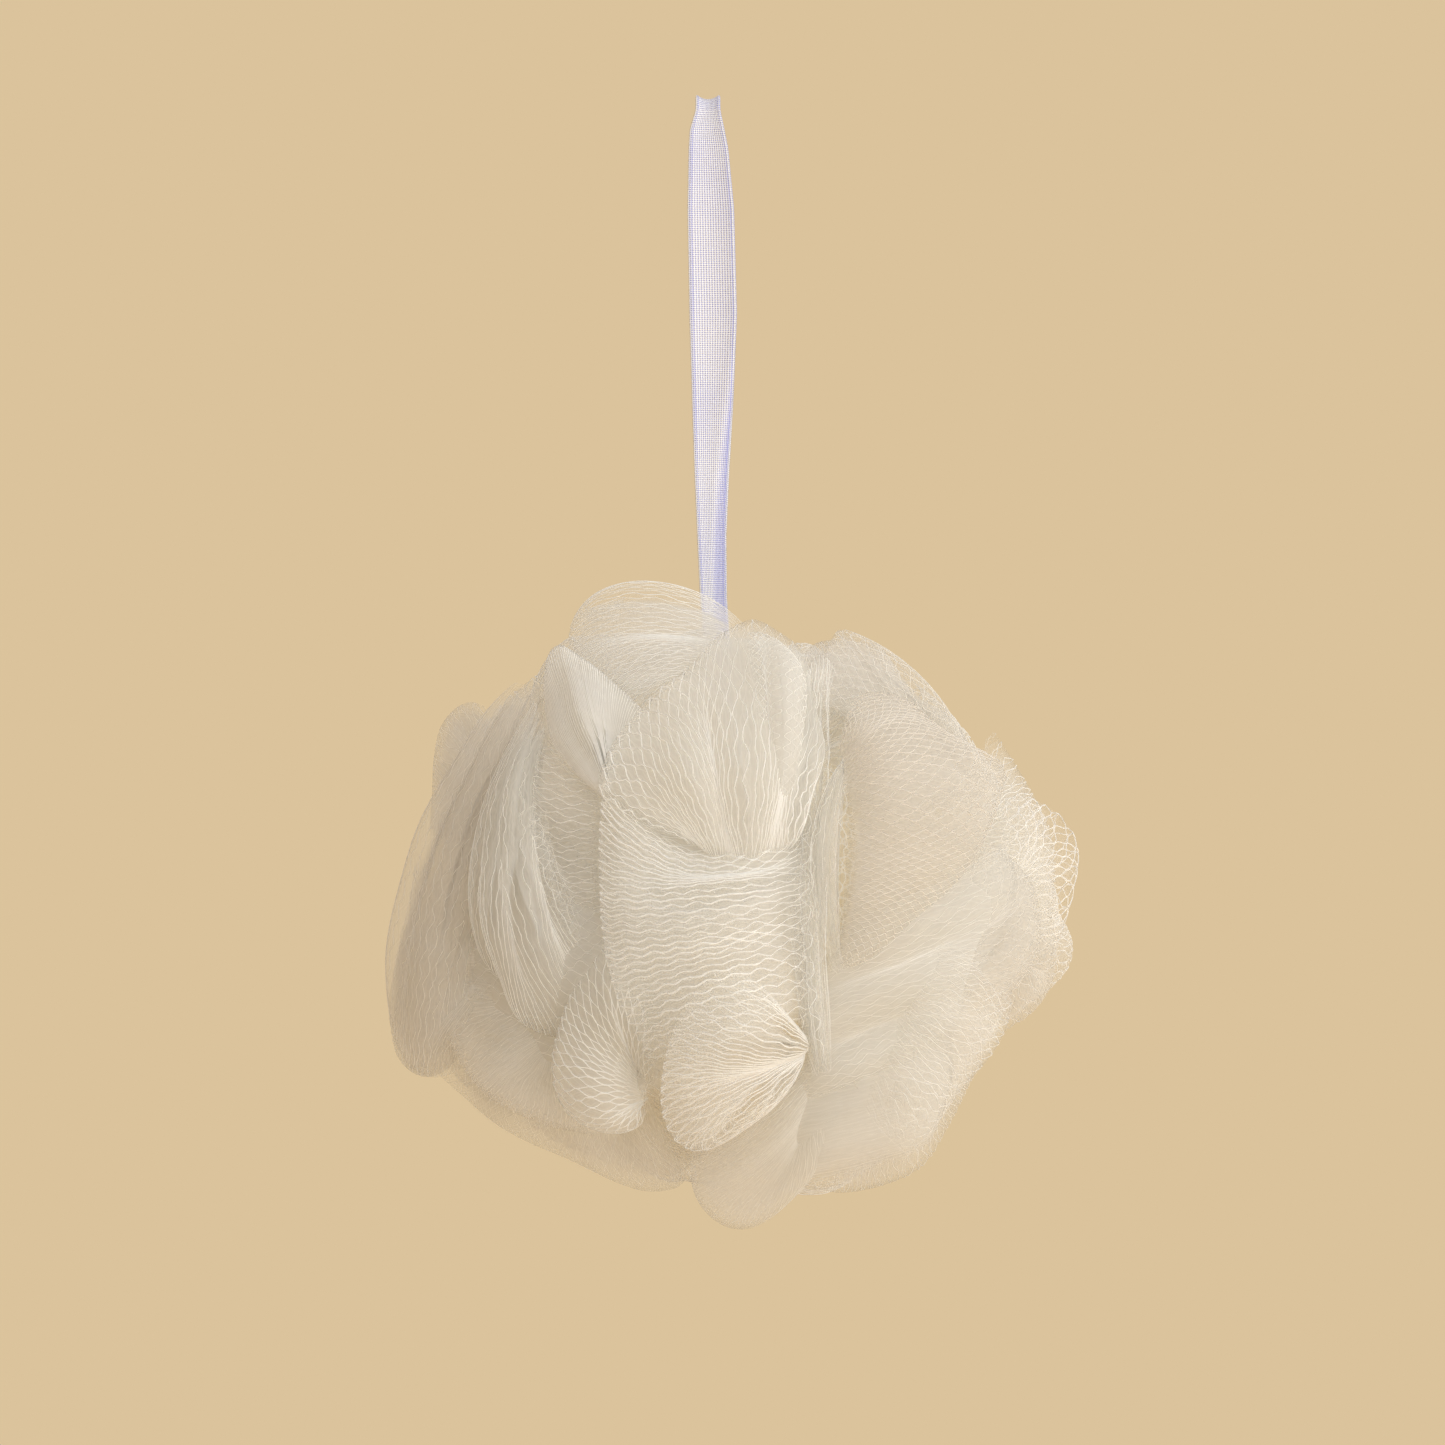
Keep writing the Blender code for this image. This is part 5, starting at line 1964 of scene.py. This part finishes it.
@dataclass
class Studio:
    """Plain backdrop, soft lamps and the camera.

    Attributes:
        backdrop: colour of the backdrop.
        scale: metres in the photograph's width at the object.
        aim: middle of the frame in the row frame.
        distance: distance of the camera, metres.
        bright_side: direction that the dome is brightest in.
        dome: strength of the dome.
        dome_low: colour of the dome's darkest side.
        dome_high: colour of its brightest side.
        lit: place that the lamps point at.
        floor_height: height of the floor, metres.
        floor_reach: half side of the floor, metres.
        sensor: width of the camera's sensor, millimetres.
        bounces: light bounces in all, of diffuse and passing light, and through
            clear surfaces.
    """

    backdrop: Point = srgb(219, 195, 156)
    scale: float = 0.30750
    aim: Point = (0.0031, 0.0, -0.1327)
    distance: float = 3.0
    bright_side: Point = (0.68, -0.68, 0.10)
    dome: float = 1.07
    dome_low: Point = srgb(172, 145, 108)
    dome_high: Point = srgb(255, 255, 255)
    lit: Point = (0.0055, 0.0, -0.17)
    floor_height: float = -1.1
    floor_reach: float = 4.0
    sensor: float = 36.0
    bounces: Tuple[int, int, int] = (16, 10, 32)

    def build(self) -> None:
        """Sets the world, the floor, the lamps and the camera."""
        self._world()
        self._floor()
        self._lamp("key", (0.55, -0.60, 0.65), size=0.60, power=2.0, colour=srgb(252, 252, 255))
        self._lamp("fill", (0.70, -0.50, -0.60), size=0.7, power=3.5, colour=srgb(255, 250, 243))
        self._camera()
        scene = bpy.context.scene
        scene.view_settings.view_transform = "Standard"
        scene.cycles.max_bounces = self.bounces[0]
        scene.cycles.diffuse_bounces = self.bounces[1]
        scene.cycles.transmission_bounces = self.bounces[1]
        scene.cycles.transparent_max_bounces = self.bounces[2]

    def _world(self) -> None:
        """Even backdrop for the camera and a soft dome for the light."""
        world = bpy.data.worlds.new("studio")
        bpy.context.scene.world = world
        tree = NodeTree(world)
        seen = tree.node("ShaderNodeBackground")
        seen.inputs["Color"].default_value = (*self.backdrop, 1.0)
        toward = tree.node("ShaderNodeVectorMath", operation="DOT_PRODUCT")
        toward.inputs[1].default_value = Vector(self.bright_side).normalized()
        tree.link(tree.node("ShaderNodeTexCoord").outputs["Generated"], toward.inputs[0])
        ramp = tree.node("ShaderNodeValToRGB")
        tree.link(tree.math("MULTIPLY_ADD", toward.outputs["Value"], 0.5, 0.5), ramp.inputs[0])
        for end, colour in zip(ramp.color_ramp.elements, (self.dome_low, self.dome_high)):
            end.color = (*colour, 1.0)
        dome = tree.node("ShaderNodeBackground")
        tree.link(ramp.outputs[0], dome.inputs["Color"])
        dome.inputs["Strength"].default_value = self.dome
        camera = tree.node("ShaderNodeLightPath").outputs["Is Camera Ray"]
        tree.show(tree.blend(camera, dome.outputs[0], seen.outputs[0]), "ShaderNodeOutputWorld")

    def _floor(self) -> None:
        """Plain pale floor, far below the hanging pouf."""
        bm = bmesh.new()
        bmesh.ops.create_grid(bm, x_segments=2, y_segments=2, size=self.floor_reach)
        for vert in bm.verts:
            vert.co.z = self.floor_height
        mesh = bpy.data.meshes.new("floor")
        bm.to_mesh(mesh)
        bm.free()
        material = bpy.data.materials.new("floor_plain")
        tree = NodeTree(material)
        shader = tree.node("ShaderNodeBsdfPrincipled")
        shader.inputs["Base Color"].default_value = (*self.backdrop, 1.0)
        shader.inputs["Roughness"].default_value = 0.9
        tree.show(shader.outputs[0])
        mesh.materials.append(material)
        floor = placed("floor", mesh)

    def _lamp(self, name: str, place: Point, size: float, power: float, colour: Point) -> None:
        """Adds a square area lamp that points at the ball.

        Args:
            name: name of the lamp.
            place: where it stands, metres.
            size: side of the lamp, metres.
            power: power in watts.
            colour: colour of its light.
        """
        data = bpy.data.lights.new(name, "AREA")
        data.size = size
        data.energy = power
        data.color = colour
        lamp = placed(name, data)
        lamp.location = place
        aim = Vector(self.lit) - Vector(place)
        lamp.rotation_euler = aim.to_track_quat("-Z", "Y").to_euler()

    def _camera(self) -> None:
        """Long lens from the front, level with the middle of the frame."""
        data = bpy.data.cameras.new("camera")
        data.sensor_width = self.sensor
        data.lens = self.sensor * self.distance / self.scale
        camera = placed("camera", data)
        camera.location = (self.aim[0], self.aim[1] - self.distance, self.aim[2])
        camera.rotation_euler = (math.pi / 2, 0.0, 0.0)
        bpy.context.scene.camera = camera


def dress_cord() -> None:
    """Gives the binding cord its twine finish."""
    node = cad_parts["binding_cord"]
    material = CordFinish().make()
    for place in node.material_slots:
        place.material = material
    LOG.info("binding_cord dressed")


def main() -> None:
    """Builds the pouf, piece by piece, and the studio round it."""
    logging.basicConfig(level=logging.INFO, format="%(name)s: %(message)s")
    Studio().build()
    NettingBall().build()
    HangingRibbon().build()
    dress_cord()


if __name__ == "__main__":
    main()
